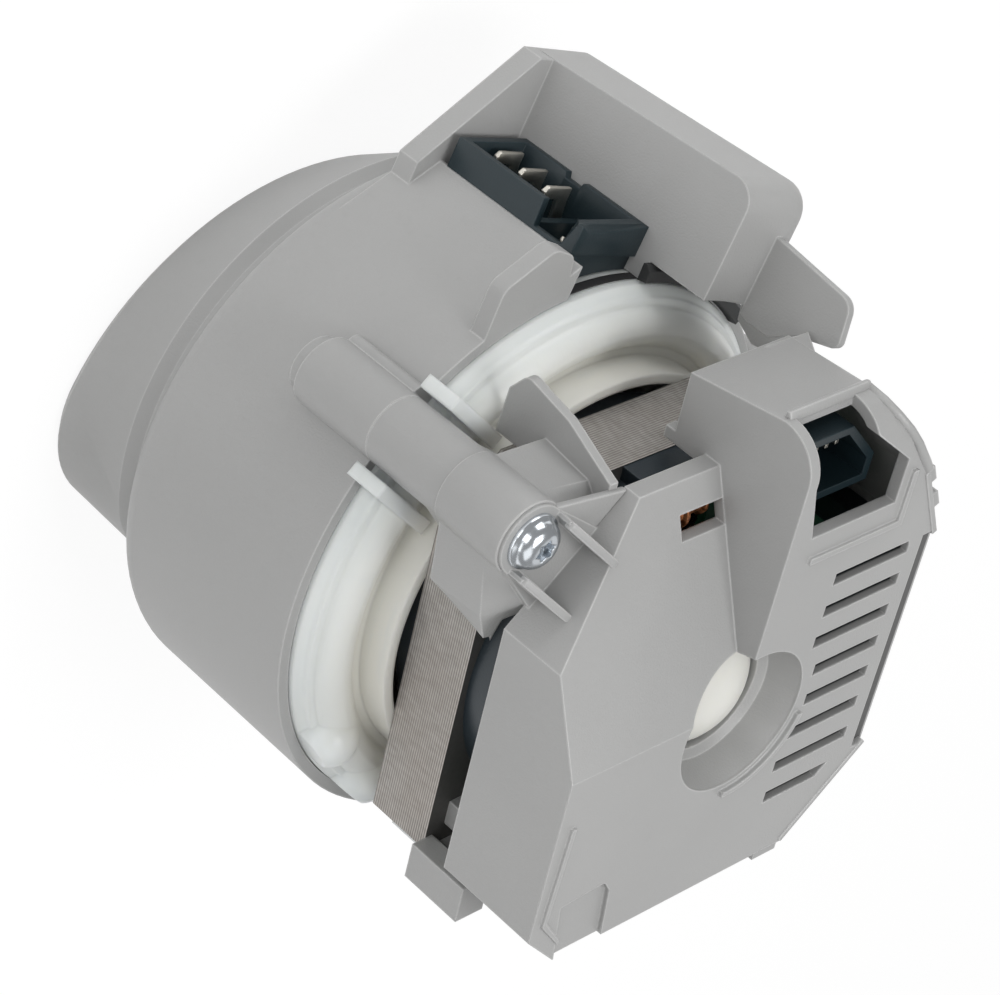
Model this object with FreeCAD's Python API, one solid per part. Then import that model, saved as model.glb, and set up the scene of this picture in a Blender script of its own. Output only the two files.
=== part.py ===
"""Heater pump of a dishwasher: a wet-rotor circulation pump with its flow heater.

Frame: millimetres, +Z along the pump axis. The pump stands on the rim of its suction mouth,
the origin is on the rotor axis in the plane of that rim, and the rear cover is on top.
X and Y follow the sides of the rear cover. Housing, outlet and heater connector share a second
pair of axes, U and V, turned by HOUSING_TURN about Z: V points to the outlet hood.
"""
import FreeCAD, Part
import math
import os

Vec = FreeCAD.Vector

# Fits and clearances
SEAT_GAP = 0.15           # radial play of a piece that sits still in its socket
BEARING_GAP = 0.05        # radial play of the shaft in its bearings
RUN_GAP = 0.5             # play between the impeller and what stands still round it
ROUND_PLAY = 0.4          # play round a boss or a bolt shank

# Drum of the pump housing
HOUSING_TURN = -17.0      # degrees from X to U
DRUM_R = 55.0
DRUM_WALL = 3.6
DRUM_EDGE_R = 4.0         # rounding of the front edge of the drum
FRONT_Z = 20.3            # front wall of the drum, outer face
FRONT_WALL = 3.2
DRUM_REAR_Z = 64.2        # open end of the drum
FLANGE_SEAT_DEPTH = 4.2   # depth of the socket that takes the motor flange
SUCTION_HOLE_R = 22.0     # hole of the front wall

# Suction collar: sections as (z, offset along -V, radius, distance of the two low flats from the axis)
COLLAR_RIM = (0.0, 11.9, 53.3, 43.1)
COLLAR_RIDGE = (14.0, 0.0, 49.9, 44.2)
COLLAR_GROOVE = (16.6, 0.0, 48.8, 43.4)
COLLAR_WALL = 3.4
COLLAR_LIP = 1.2          # bevel of the rim
COLLAR_FLAT_TURN = 26.7   # degrees from -V to the normal of each flat
COLLAR_CORNER_R = 21.7

# Outlet hood and heater connector pocket
HOOD_INNER_U = -2.5
HOOD_OUTER_U = 17.0
HOOD_FRONT_Z = 24.3
HOOD_RISE = 20.6          # top of the hood above the side of the drum
HOOD_DRAFT_RISE = 2.0     # rise of the top of the hood from front to rear
HOOD_REAR_Z = 77.0
HOOD_WALL = 2.6
HOOD_EDGE_R = 6.0
HOOD_REAR_R = 4.6         # rounding between the top of the hood and its rear face
HOOD_CLEAR = 3.8          # gap between the hood and the motor flange below it
GABLE_WALL = 4.5          # front wall of the connector pocket
GABLE_LOW = (-25.5, 54.6)
GABLE_TOP_U = -5.7
WING_U = (9.4, 11.0)
WING_FORM = ((55.6, 72.0), (53.6, 79.0), (53.6, 84.0), (56.6, 88.5), (58.9, 97.0, 1.5), (66.9, 95.4, 3.0),
             (69.4, 72.0))
OUTLET_R = 7.5            # bore of the pressure outlet
OUTLET_WALL = 2.0
OUTLET_LENGTH = 8.0
OUTLET_RISE = 6.4         # axis of the outlet above the side of the drum
OUTLET_Z = 50.0
OUTLET_SEAL = 2.4         # width of the outlet seal
OUTLET_SEAL_DEPTH = 1.2   # depth of its groove
OUTLET_SEAL_PROUD = 0.4   # how far the seal stands out of its groove
DUCT_U = (1.0, 13.5)      # water duct from the heater to the hood
DUCT_Z = (27.5, 31.6)
DUCT_WALL = 2.0
DUCT_REACH = 7.8          # how far the duct reaches inside the heater radius
CARRIER_WALL = 2.2        # wall of the ring that carries the front heater seal
CABLE_LUG = ((-36.5, 41.0), (-37.0, 50.4, 3.0), (-28.5, 58.2, 3.0), (-23.5, 57.2, 2.0), (-20.0, 48.0))
CABLE_LUG_THICK = 3.4
POCKET_PAD = ((-35.6, 41.9), (-30.0, 38.0), (-19.0, 44.0), (-19.0, 55.2), (-20.0, 55.2))

# Heater and what it is wired with
HEATER_R = 38.0
HEATER_WALL = 0.9
HEATER_FRONT_Z = 34.2
TRACK_HEIGHT = 0.4        # thickness of the printed heating tracks
TRACK_LENGTH = 17.0
TRACK_Z = 36.5
TRACK_GAP = 0.8           # bare gap between two tracks
TRACK_BRIDGE = 5.0        # width of the link from one track to the next
SEAL_ROD = 1.8            # section of the heater seals
CONNECTOR_U = (-20.0, -1.2)
CONNECTOR_Z = (30.5, 60.0)
CONNECTOR_V = (44.5, 60.8)
CONNECTOR_WALL = 1.6
CONNECTOR_FLOOR = 50.5
CONNECTOR_END = 10.0      # length of the shallow room at the rear end
CONNECTOR_RIB = 1.4       # rib between the two rooms
CONNECTOR_STEP = 4.0      # how much shallower that room is
CONNECTOR_NOTCH = 2.6     # depth of the notch in its near wall
CONNECTOR_SEAT = 4.5      # gap between its floor and the steel tube
CONNECTOR_CORNER = 4.0    # bevel of the front near corner
BLADE_Z = (37.5, 44.0, 49.0)
BLADE_WIDTH = 4.4
BLADE_THICK = 0.8
BLADE_TOP_V = 60.0
BLADE_BEND = 5.0
BLADE_OFFSET = 1.0        # of the blades from the middle of the connector
BLADE_SLOT = (2.0, 2.0, 1.6)   # slot in the bent tip: width, distance from the bend, length
NEAR_WALL_DROP = 4.6      # how far the near wall of the connector falls towards its rear end
SENSOR_SIZE = (7.0, 5.0, 12.0)
SENSOR_ANGLE = 140.0      # degrees from U

# Suction tube
TUBE_IN_R = 15.5
TUBE_WALL = 2.5
TUBE_REAR_Z = 42.0
TUBE_FLANGE_R = 34.0
TUBE_FLANGE_THICK = 3.0
TUBE_BELL_R = 25.0        # mouth of the intake bell
TUBE_BELL_Z = 12.0
TUBE_BELL_WALL = 1.0
TUBE_RIBS = 6
TUBE_RIB_THICK = 1.8
TUBE_RIB_Z = 14.0         # front end of a rib

# Impeller and diffuser
GUIDE_GAP = 1.7           # between the impeller and the guide vanes
IMPELLER_FRONT_Z = 44.0
SHROUD_THICK = 1.8
VANE_HEIGHT = 8.7
VANE_COUNT = 6
VANE_THICK = 1.5
VANE_IN_R = 11.0
VANE_SWEEP = 75.0         # degrees swept by a vane from hub to rim
PLATE_THICK = 2.0
HUB_R = 8.0
NOSE_HEIGHT = 1.6         # cone at the front of the hub
NOSE_TIP_R = 5.5
EYE_LIP = 4.0
EYE_WALL = 1.8
SHROUD_FALL = 0.6         # how much the shroud thins towards its rim
DIFFUSER_Z = 57.6         # front face of the diffuser plate
DIFFUSER_VANES = 9
DIFFUSER_VANE_REACH = 3.4 # radial length of a guide vane
DIFFUSER_VANE_HEIGHT = 8.0
DIFFUSER_VANE_THICK = 1.4
DIFFUSER_VANE_SWEEP = 14.0
DIFFUSER_SKIRT_WALL = 1.7
DIFFUSER_SKIRT = 6.0
CARRIER_HUB_WALL = 2.2
CARRIER_HUB_REAR = 68.8
CARRIER_HOLES = 6
CARRIER_HOLE_R = 1.8

# Rotor
SHAFT_R = 4.0
SHAFT_FRONT_Z = 45.0
SHAFT_REAR_Z = 105.5
BEARING_WALL = 3.0
FRONT_BEARING_LENGTH = 10.0
REAR_BEARING_LENGTH = 8.0
ROTOR_Z = (72.0, 94.5)
ROTOR_CORE_R = 10.0
MAGNET_R = 16.2
THRUST_THICK = 2.6
THRUST_R = 7.4

# Motor flange with the rotor can
CAN_IN_R = 17.0
CAN_WALL = 1.6
CAN_REAR_Z = 98.0
SHAFT_END_PLAY = 1.5      # between the shaft and the cap of the can
CAP_R = 10.2
CAP_SIDE_Z = 109.6
CAP_TOP_Z = 113.4
FLANGE_FLOOR_Z = 66.0
RIM_R = 39.2              # inner radius of the rim that carries the stator
RIM_WALL = 1.9
STATOR_Z = 75.0
FLANGE_EDGE_Z = 65.0
FLANGE_STEPS = ((51.3, 66.3), (51.0, 67.0), (49.9, 67.4), (49.6, 68.2))   # two low steps inside the edge
CREST_R = 46.0
CREST_Z = 70.6
VALLEY_R = 42.8
VALLEY_Z = 68.6
UNDER_POCKETS = ((20.0, 37.0, 63.0), (42.5, 48.7, 66.0))   # hollows below, as (inner r, outer r, roof z)
FORK_WALL = 2.6           # walls beside the screw bosses
FORK_PLAY = 1.3           # between a boss and the walls beside it
FORK_R = (41.5, 58.5)
FORK_HEIGHT = 7.4
LUG_R = 5.4               # round lugs on the low side of the flange
LUG_ANGLES = (209.0, 229.0)
LUG_CENTRE_R = 48.6
FLANGE_SEAL = 1.8         # section of the seal in the edge of the flange
FLANGE_SEAL_Z = 61.4

# Stator
STACK_HALF = 36.5         # half the side of the square lamination stack
STACK_LOW = -38.4         # low side of the stack
STACK_THICK = 13.0
STACK_CORNER = 3.0
STACK_ARM_CORNER = 11.0   # cut of the corner that the screw arm passes
STACK_PLAY = 0.4          # play between the stack and the arms of the cover
YOKE_IN_R = 31.5
TOOTH_COUNT = 6
TOOTH_WIDTH = 9.0
TOOTH_TIP_R = 19.3
TOOTH_SHOE = 2.2
SHOE_WIDTH = 15.0
SLEEVE_WALL = 0.8         # insulation between tooth and coil
INSULATOR_RING = 3.6
INSULATOR_FRONT = 4.0
COIL_R = (22.6, 30.1)
COIL_BUILD = 3.0          # thickness of the winding round its sleeve
COIL_CORNER_R = 1.8
POST_R = 1.7
POST_LENGTH = 3.0         # from the rear insulator to the board
KEY_BLOCK = (-10.0, 12.0, 31.6, 36.3, 4.0)   # X and Y limits and height of the block under the sloping face

# Electronics
BOARD_Z = 97.0
BOARD_THICK = 1.6
BOARD_MARGIN = 1.2        # gap between the board and the wall of the cover
BOARD_HOLE_PLAY = 1.5     # between the board and the rotor can
POST_HOLE_PLAY = 0.8      # between the board and the posts of the cover
BOARD_NOTCH = (-14.0, 1.0, 25.5)   # sides and low edge of the notch below the peep window
CAPACITORS = ((-24.0, -20.0, 6.3, 13.5), (-9.0, -26.0, 6.3, 13.5), (-27.0, -3.0, 5.0, 12.0))
CHIPS = ((14.8, -32.0, 9.0, 9.0, 3.2), (26.0, -8.0, 6.0, 12.0, 4.0), (24.0, 8.0, 7.0, 7.0, 1.6))
CAN_NECK = (1.6, 2.4, 0.5)   # rolled groove of a capacitor: two heights above the board and its depth
CHOKE = (6.5, 3.2, 8.0)   # outer radius, inner radius and height
CHOKE_PLACE = (6.5, -25.5)
SOCKET_WALL = 1.5
SOCKET_DEPTH = 11.0
SOCKET_FLOOR = 2.5
SOCKET_X = (2.0, 22.5)
SOCKET_Y = (38.6, 52.0)
SOCKET_KEY = (6.0, 2.0, 4.0)   # key of the socket: distance from its left side, width and depth
PIN_START = 5.2           # first pin, from the left side of the socket
SOCKET_CUT = 8.0          # bevel of the outer corner of the socket
PIN_COUNT = 5
PIN_PITCH = 2.5
PIN_SIDE = 0.8
PIN_LENGTH = 7.0

# Rear cover
PLATE_Z = 118.0
COVER_WALL = 2.3
COVER_LEFT = -41.0
COVER_RIGHT = 39.3
COVER_LOW = -37.8
COVER_HIGH = 42.0
COVER_OPEN_Z = 88.0       # open end of the cover, on the lamination stack
WINDOW_Z = 97.0           # edge of the side windows that show the stator
WINDOW_SILL = 3.8         # height of the low wall that stays below the window
CORNER_CUT = 20.8         # 45 degree cut of the high left corner
LOW_CUT = 16.3            # 45 degree cut of the low right corner
FOOT_CUT = 7.6            # 45 degree cut of the low left corner
SLOPE_START_Y = 4.4
SLOPE = 0.467             # fall of the sloping face for each millimetre of Y
STEP_X = -1.7             # wall between the sloping and the level face
BOX_HIGH = 57.0           # top wall of the connector box, at its rear
BOX_DRAFT = 3.4           # how much lower that wall is at the open end
BOX_OPEN_Z = 90.0
BOX_DRAFT_Z = 110.0
BOX_EDGE_R = 8.0
BOX_CORNERS = ((39.3, 26.0), (30.6, 42.5), (19.0, 57.0))   # right side of the box
OPENING_LOW_Y = 37.2
OPENING_Z = 110.0         # edge of the socket opening in the top wall
SLOT_TOPS = (26.1, 19.3, 12.6, 5.7, -1.0, -7.9, -15.0, -22.0)
SLOT_HEIGHT = 2.5
SLOT_X = (13.7, 32.5)
SLOT_MARGIN = 6.4         # what stays between a slot and the edge of the cover
RECESS_R = 14.0
CAP_HOLE_R = 10.8
RECESS_DEPTH = 7.4
RECESS_WALL = 2.0
RECESS_RIB = 1.0          # width and height of the rib on the low right side of the recess
RECESS_RIB_X = -0.6
RECESS_RIB_Y = -4.0
RIM_RIB = 1.2
BEVEL = 3.5               # bevel along the right edge of the plate
PEEP_X = (-11.8, -1.8)    # small window of the sloping face
PEEP_Y = (32.9, 37.0)
POCKET = ((-33.0, -39.0), (-35.0, -25.2), (-25.0, -24.4, 1.2), (-23.2, -27.0), (-21.8, -39.0))
POCKET_DEPTH = 1.0
BEAD = ((-38.3, -6.0), (-39.2, -27.2), (-32.6, -35.2))   # raised line beside the pocket
BEAD_WIDTH = 0.9
GUSSET = ((15.0, 90.6), (25.4, 91.0), (20.4, 98.0))   # triangular lug of the connector box, as (x, z)
GUSSET_Y = (52.4, 53.8)
TAB_REACH = 3.4
TAB_WIDTH = 3.6
TAB_THICK = 2.4
TAB_PLACES = ((37.6, 29.2), (34.2, 35.6))   # latch tabs on the slanted right edge
LOW_TAB_X = (20.0, 26.0)
LOW_TAB_Y = -43.0
FOOT_BOX = (-39.4, -33.2, -40.4, -33.0)   # X and Y limits of the leg
FOOT_REAR_Z = 101.0
FOOT_WALL = 1.2
FIN_X = -23.0
FIN_WALL = 1.8
FIN_FORM = ((37.6, 97.0), (37.6, 71.6), (46.6, 72.4, 1.0), (50.8, 75.6, 2.0), (48.6, 85.8, 2.0), (43.4, 97.0))
COVER_POST = 5.0          # side of the posts that press on the stack
POST_PLACES = ((-30.0, -29.0), (28.5, -27.0), (31.0, 24.0))

# Screws and their bosses
SCREW_PLACES = ((57.0, 136.0), (55.6, 262.0), (57.0, 16.0))   # radius and angle from X
BOSS_R = 6.4
BOSS_FRONT_Z = 48.0
BOSS_NECK = 1.2           # how much thinner the front end of a housing boss is
BOSS_NECK_LENGTH = 2.5
BOSS_RIB_R = 1.8          # round rib beside a housing boss
BOSS_RIB_TURN = 6.6       # degrees between them
BOSS_JOINT_Z = 66.0
BOSS_REAR_Z = 98.0
ARM_FRONT_Z = 79.5
ARM_ROOT_R = 36.0
ARM_ROOT_HALF = 9.5
# Sections of the flared skirt of an arm, as (z, half width near the cover, radius, half width, end radius)
SKIRT_SECTIONS = ((82.0, 18.8, 46.5, 14.6, 56.0), (92.5, 18.2, 44.6, 14.2, 56.0), (98.0, 6.4, 44.6, 6.4, 56.0))
SKIRT_RISE = ((39.2, 93.0), (46.5, 82.0))   # rise of its low edge towards the cover, as (radius, z)
SCREW_SHANK_R = 2.2
SCREW_REACH = 44.0
SCREW_HEAD_R = 5.0
SCREW_HEAD_HEIGHT = 3.4
SCREW_DOME = 2.2
ARM_RIB = 1.4
ARM_RIB_OFFSET = 4.9
ARM_RIB_ROOT_R = 44.5
ARM_RIB_HEIGHT = 3.4      # height of a rib above the arm
ARM_RIB_FALL = 0.6        # how much lower it is at its outer end

# Sizes that follow from the ones above
GUIDE_OUT_R = HEATER_R - HEATER_WALL - RUN_GAP
GUIDE_IN_R = GUIDE_OUT_R - DIFFUSER_VANE_REACH
IMPELLER_R = GUIDE_IN_R - GUIDE_GAP
DRUM_IN_R = DRUM_R - DRUM_WALL
HOOD_FRONT_V = DRUM_R + HOOD_RISE
OUTLET_V = DRUM_R + OUTLET_RISE
LEDGE_Z = DRUM_REAR_Z - FLANGE_SEAT_DEPTH
FLANGE_R = DRUM_IN_R + 1.3
INSIDE_Z = FRONT_Z + FRONT_WALL
TUBE_R = TUBE_IN_R + TUBE_WALL
VANE_Z = IMPELLER_FRONT_Z + SHROUD_THICK
PLATE_FRONT_Z = VANE_Z + VANE_HEIGHT
HUB_REAR_Z = PLATE_FRONT_Z + PLATE_THICK
BEARING_IN_R = SHAFT_R + BEARING_GAP
BEARING_OUT_R = BEARING_IN_R + BEARING_WALL
CAN_R = CAN_IN_R + CAN_WALL
STACK_REAR_Z = STATOR_Z + STACK_THICK
BOARD_TOP_Z = BOARD_Z + BOARD_THICK
SHANK_HOLE_R = SCREW_SHANK_R + ROUND_PLAY
COVER_IN_Z = PLATE_Z - COVER_WALL
COVER_OUTLINE = [
    (COVER_LEFT, COVER_LOW + FOOT_CUT), (COVER_LEFT + FOOT_CUT, COVER_LOW), (COVER_RIGHT - LOW_CUT, COVER_LOW),
    (COVER_RIGHT, COVER_LOW + LOW_CUT), BOX_CORNERS[0], BOX_CORNERS[1], BOX_CORNERS[2],
    (STEP_X, BOX_HIGH), (STEP_X, COVER_HIGH), (COVER_LEFT + CORNER_CUT, COVER_HIGH),
    (COVER_LEFT, COVER_HIGH - CORNER_CUT),
]


def polar(radius, degrees):
    """Point of the XY plane at this radius and angle."""
    angle = math.radians(degrees)
    return radius * math.cos(angle), radius * math.sin(angle)


def disc(radius, z0, z1, x=0.0, y=0.0):
    return Part.makeCylinder(radius, z1 - z0, Vec(x, y, z0))


def ring(outer, inner, z0, z1, x=0.0, y=0.0):
    return disc(outer, z0, z1, x, y).cut(disc(inner, z0, z1, x, y))


def block(x0, x1, y0, y1, z0, z1):
    return Part.makeBox(x1 - x0, y1 - y0, z1 - z0, Vec(x0, y0, z0))


def dome_arc(radius, z_side, z_top):
    """Arc from the side of a round cap to its top, centred on the axis."""
    height = z_top - z_side
    ball_r = (radius ** 2 + height ** 2) / (2.0 * height)
    middle = radius / 2.0
    z_middle = z_top - ball_r + math.sqrt(ball_r ** 2 - middle ** 2)
    return Part.Arc(Vec(radius, 0, z_side), Vec(middle, 0, z_middle), Vec(0, 0, z_top)).toShape()


def outline(points, z=0.0):
    """Closed wire through points; a point of three values has its corner rounded by the third."""
    count = len(points)
    starts, ends = [], []
    corners = []
    for index, point in enumerate(points):
        here = Vec(point[0], point[1], z)
        before = Vec(points[index - 1][0], points[index - 1][1], z)
        after = Vec(points[(index + 1) % count][0], points[(index + 1) % count][1], z)
        radius = point[2] if len(point) > 2 else 0.0
        if radius <= 0.0:
            corners.append(None)
            starts.append(here)
            ends.append(here)
            continue
        back = (before - here).normalize()
        ahead = (after - here).normalize()
        half = back.getAngle(ahead) / 2.0
        reach = radius / math.tan(half)
        centre = here + (back + ahead).normalize() * (radius / math.sin(half))
        start = here + back * reach
        end = here + ahead * reach
        middle = centre + (here - centre).normalize() * radius
        corners.append(Part.Arc(start, middle, end).toShape())
        starts.append(start)
        ends.append(end)
    edges = []
    for index in range(count):
        if corners[index] is not None:
            edges.append(corners[index])
        edges.append(Part.makeLine(ends[index], starts[(index + 1) % count]))
    return Part.Wire(edges)


def prism(points, z0, z1):
    return Part.Face(outline(points, z0)).extrude(Vec(0, 0, z1 - z0))


def side_prism(points, x0, x1):
    """Prism along X of a profile given as (y, z) points."""
    flat = prism(points, x0, x1)
    turn = FreeCAD.Placement(Vec(0, 0, 0), FreeCAD.Rotation(Vec(1, 1, 1), 120))
    return flat.transformGeometry(turn.toMatrix())


def spin(points):
    """Solid of revolution about Z of a profile given as (radius, z) points."""
    wire = Part.makePolygon([Vec(r, 0, z) for r, z in points + points[:1]])
    return Part.Face(wire).revolve(Vec(0, 0, 0), Vec(0, 0, 1), 360)


def spin_edges(edges):
    return Part.Face(Part.Wire(edges)).revolve(Vec(0, 0, 0), Vec(0, 0, 1), 360)


def turned(shape, degrees):
    copy = shape.copy()
    copy.rotate(Vec(0, 0, 0), Vec(0, 0, 1), degrees)
    return copy


def round_the_axis(shape, count, first=0.0):
    return [turned(shape, first + 360.0 * index / count) for index in range(count)]


def joined(shapes):
    return shapes[0].multiFuse(shapes[1:]).removeSplitter()


def inset(points, distance):
    """Polygon drawn in by the distance; the points run anticlockwise."""
    lines = []
    for index, (x, y) in enumerate(points):
        next_x, next_y = points[(index + 1) % len(points)][:2]
        length = math.hypot(next_x - x, next_y - y)
        normal_x, normal_y = (y - next_y) / length, (next_x - x) / length
        lines.append((normal_x, normal_y, normal_x * x + normal_y * y + distance))
    corners = []
    for index, (a1, b1, c1) in enumerate(lines):
        a0, b0, c0 = lines[index - 1]
        det = a0 * b1 - a1 * b0
        corners.append(((c0 * b1 - c1 * b0) / det, (a0 * c1 - a1 * c0) / det))
    return corners


# Pump housing

def housing_drum():
    """Open drum with its front wall, rounded front edge and the socket for the motor flange."""
    corner = DRUM_EDGE_R
    lean = corner * (1.0 - math.sqrt(0.5))
    seat_r = FLANGE_R + SEAT_GAP
    points = [
        Vec(SUCTION_HOLE_R, 0, FRONT_Z), Vec(DRUM_R - corner, 0, FRONT_Z),
        Vec(DRUM_R - lean, 0, FRONT_Z + lean), Vec(DRUM_R, 0, FRONT_Z + corner),
        Vec(DRUM_R, 0, DRUM_REAR_Z), Vec(seat_r, 0, DRUM_REAR_Z), Vec(seat_r, 0, LEDGE_Z),
        Vec(DRUM_IN_R, 0, LEDGE_Z), Vec(DRUM_IN_R, 0, INSIDE_Z), Vec(SUCTION_HOLE_R, 0, INSIDE_Z),
    ]
    edges = [Part.makeLine(points[0], points[1]), Part.Arc(points[1], points[2], points[3]).toShape()]
    rest = points[3:] + points[:1]
    edges += [Part.makeLine(rest[i], rest[i + 1]) for i in range(len(rest) - 1)]
    return spin_edges(edges)


def arc_round(centre, radius, start, end):
    """Level arc about the centre between two angles in degrees."""
    points = [centre + Vec(*polar(radius, angle), 0) for angle in (start, (start + end) / 2.0, end)]
    return Part.Arc(*points).toShape()


def collar_wire(section, wall):
    """Outline of the collar drawn in by the wall: a circle off the axis with two flats and rounded corners."""
    z, offset, radius, reach = section
    corner = COLLAR_CORNER_R - wall
    slant = math.radians(COLLAR_FLAT_TURN)
    flat_angle = COLLAR_FLAT_TURN - 90.0
    depth = reach - COLLAR_CORNER_R
    swing = radius - COLLAR_CORNER_R
    meet = flat_angle + math.degrees(math.acos((depth - offset * math.cos(slant)) / swing))
    centre = Vec(0, -offset, z)
    right = centre + Vec(*polar(swing, meet), 0)
    left = Vec(-right.x, right.y, z)
    apex = Vec(0, -depth / math.cos(slant), z)
    arcs = [arc_round(centre, radius - wall, meet, 180.0 - meet),
            arc_round(left, corner, 180.0 - meet, 180.0 - flat_angle),
            arc_round(apex, corner, 180.0 - flat_angle, 360.0 + flat_angle),
            arc_round(right, corner, flat_angle, meet)]
    flats = [Part.makeLine(arcs[1].Vertexes[1].Point, arcs[2].Vertexes[0].Point),
             Part.makeLine(arcs[2].Vertexes[1].Point, arcs[3].Vertexes[0].Point)]
    return Part.Wire([arcs[0], arcs[1], flats[0], arcs[2], flats[1], arcs[3]])


def collar_between(low, high, z):
    """Section of the collar at this height, between two others."""
    part = (z - low[0]) / (high[0] - low[0])
    return tuple(a + (b - a) * part for a, b in zip(low, high))


def housing_collar():
    """Suction collar, leaning off the axis, with its ridge and the groove in front of the drum."""
    lip = collar_between(COLLAR_RIM, COLLAR_RIDGE, COLLAR_LIP)
    rear = (FRONT_Z + 1.0,) + COLLAR_GROOVE[1:]
    outer = [collar_wire(COLLAR_RIM, COLLAR_LIP), collar_wire(lip, 0.0), collar_wire(COLLAR_RIDGE, 0.0),
             collar_wire(COLLAR_GROOVE, 0.0), collar_wire(rear, 0.0)]
    room = [collar_wire(section, COLLAR_WALL) for section in (COLLAR_RIM, COLLAR_RIDGE)]
    inner = (COLLAR_RIDGE[0],) + COLLAR_GROOVE[1:]
    bore = Part.Face(collar_wire(inner, COLLAR_WALL - 1.0)).extrude(Vec(0, 0, FRONT_Z - COLLAR_RIDGE[0]))
    return Part.makeLoft(outer, True, True).cut(Part.makeLoft(room, True, True)).cut(bore)


def hood_section(z, rise):
    points = [(HOOD_INNER_U, 0), (HOOD_OUTER_U, 0), (HOOD_OUTER_U, HOOD_FRONT_V + rise, HOOD_EDGE_R),
              (HOOD_INNER_U, HOOD_FRONT_V + rise)]
    return outline(points, z)


def housing_hood():
    """Drafted box of the outlet, gable wall of the connector pocket and the wing behind the box."""
    body = Part.makeLoft([hood_section(HOOD_FRONT_Z, 0.0), hood_section(HOOD_REAR_Z, HOOD_DRAFT_RISE)],
                         True, True)
    rear_edges = [edge for edge in body.Edges
                  if edge.BoundBox.ZMin > HOOD_REAR_Z - 0.1 and edge.BoundBox.YMin > DRUM_R]
    body = body.makeFillet(HOOD_REAR_R, rear_edges)
    gable = prism([(GABLE_LOW[0], 0), GABLE_LOW, (GABLE_TOP_U, HOOD_FRONT_V), (HOOD_INNER_U, HOOD_FRONT_V),
                   (HOOD_INNER_U + 1.0, HOOD_FRONT_V), (HOOD_INNER_U + 1.0, 0)],
                  HOOD_FRONT_Z, HOOD_FRONT_Z + GABLE_WALL)
    spigot = side_cylinder(OUTLET_R + OUTLET_WALL, HOOD_OUTER_U - 1.0, HOOD_OUTER_U + OUTLET_LENGTH)
    body = joined([body, gable, spigot.cut(outlet_ring(OUTLET_WALL))])
    below = disc(DRUM_R - 0.5, FRONT_Z, DRUM_REAR_Z)
    behind = disc(FLANGE_R + HOOD_CLEAR, DRUM_REAR_Z, HOOD_REAR_Z)
    wing = side_prism(WING_FORM, WING_U[0], WING_U[1])
    return joined([body.cut(below).cut(behind), wing.cut(behind)])


def side_cylinder(radius, u0, u1):
    return Part.makeCylinder(radius, u1 - u0, Vec(u0, OUTLET_V, OUTLET_Z), Vec(1, 0, 0))


def outlet_ring(proud):
    """Ring in the groove of the outlet, standing out of the spigot by this much."""
    u0 = HOOD_OUTER_U + OUTLET_LENGTH - 2.0 * OUTLET_SEAL
    outer = side_cylinder(OUTLET_R + OUTLET_WALL + proud, u0, u0 + OUTLET_SEAL)
    return outer.cut(side_cylinder(OUTLET_R + OUTLET_WALL - OUTLET_SEAL_DEPTH, u0, u0 + OUTLET_SEAL))


def hood_passage():
    """Water space of the hood, its outlet bore and the duct down to the heater."""
    room = block(DUCT_U[0], HOOD_OUTER_U - HOOD_WALL, DRUM_IN_R + HOOD_WALL, HOOD_FRONT_V - HOOD_WALL,
                 DUCT_Z[0], HOOD_REAR_Z - 2.0 * HOOD_WALL)
    clear_of_flange = disc(FLANGE_R + HOOD_CLEAR + HOOD_WALL, LEDGE_Z, HOOD_REAR_Z)
    bore = side_cylinder(OUTLET_R, DUCT_U[1] - 1.0, HOOD_OUTER_U + OUTLET_LENGTH + 1.0)
    duct = block(DUCT_U[0], DUCT_U[1], HEATER_R - DUCT_REACH, DRUM_R + HOOD_WALL, DUCT_Z[0], DUCT_Z[1])
    return room.cut(clear_of_flange).fuse(bore).fuse(duct)


def housing_duct():
    """Ring that carries the front heater seal, and the walls of the duct that leaves it."""
    top = HEATER_FRONT_Z
    carrier = ring(HEATER_R + SEAL_ROD + CARRIER_WALL, HEATER_R - SEAL_ROD, FRONT_Z + 1.0, top)
    carrier = carrier.cut(disc(HEATER_R + SEAL_ROD, top - SEAL_ROD, top))
    walls = block(DUCT_U[0] - DUCT_WALL, DUCT_U[1] + DUCT_WALL, 0, DRUM_IN_R + 1.0, FRONT_Z + 1.0,
                  DUCT_Z[1] + DUCT_WALL)
    walls = walls.cut(disc(HEATER_R + SEAL_ROD + 1.0, FRONT_Z, top))
    return [carrier, walls]


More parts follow.
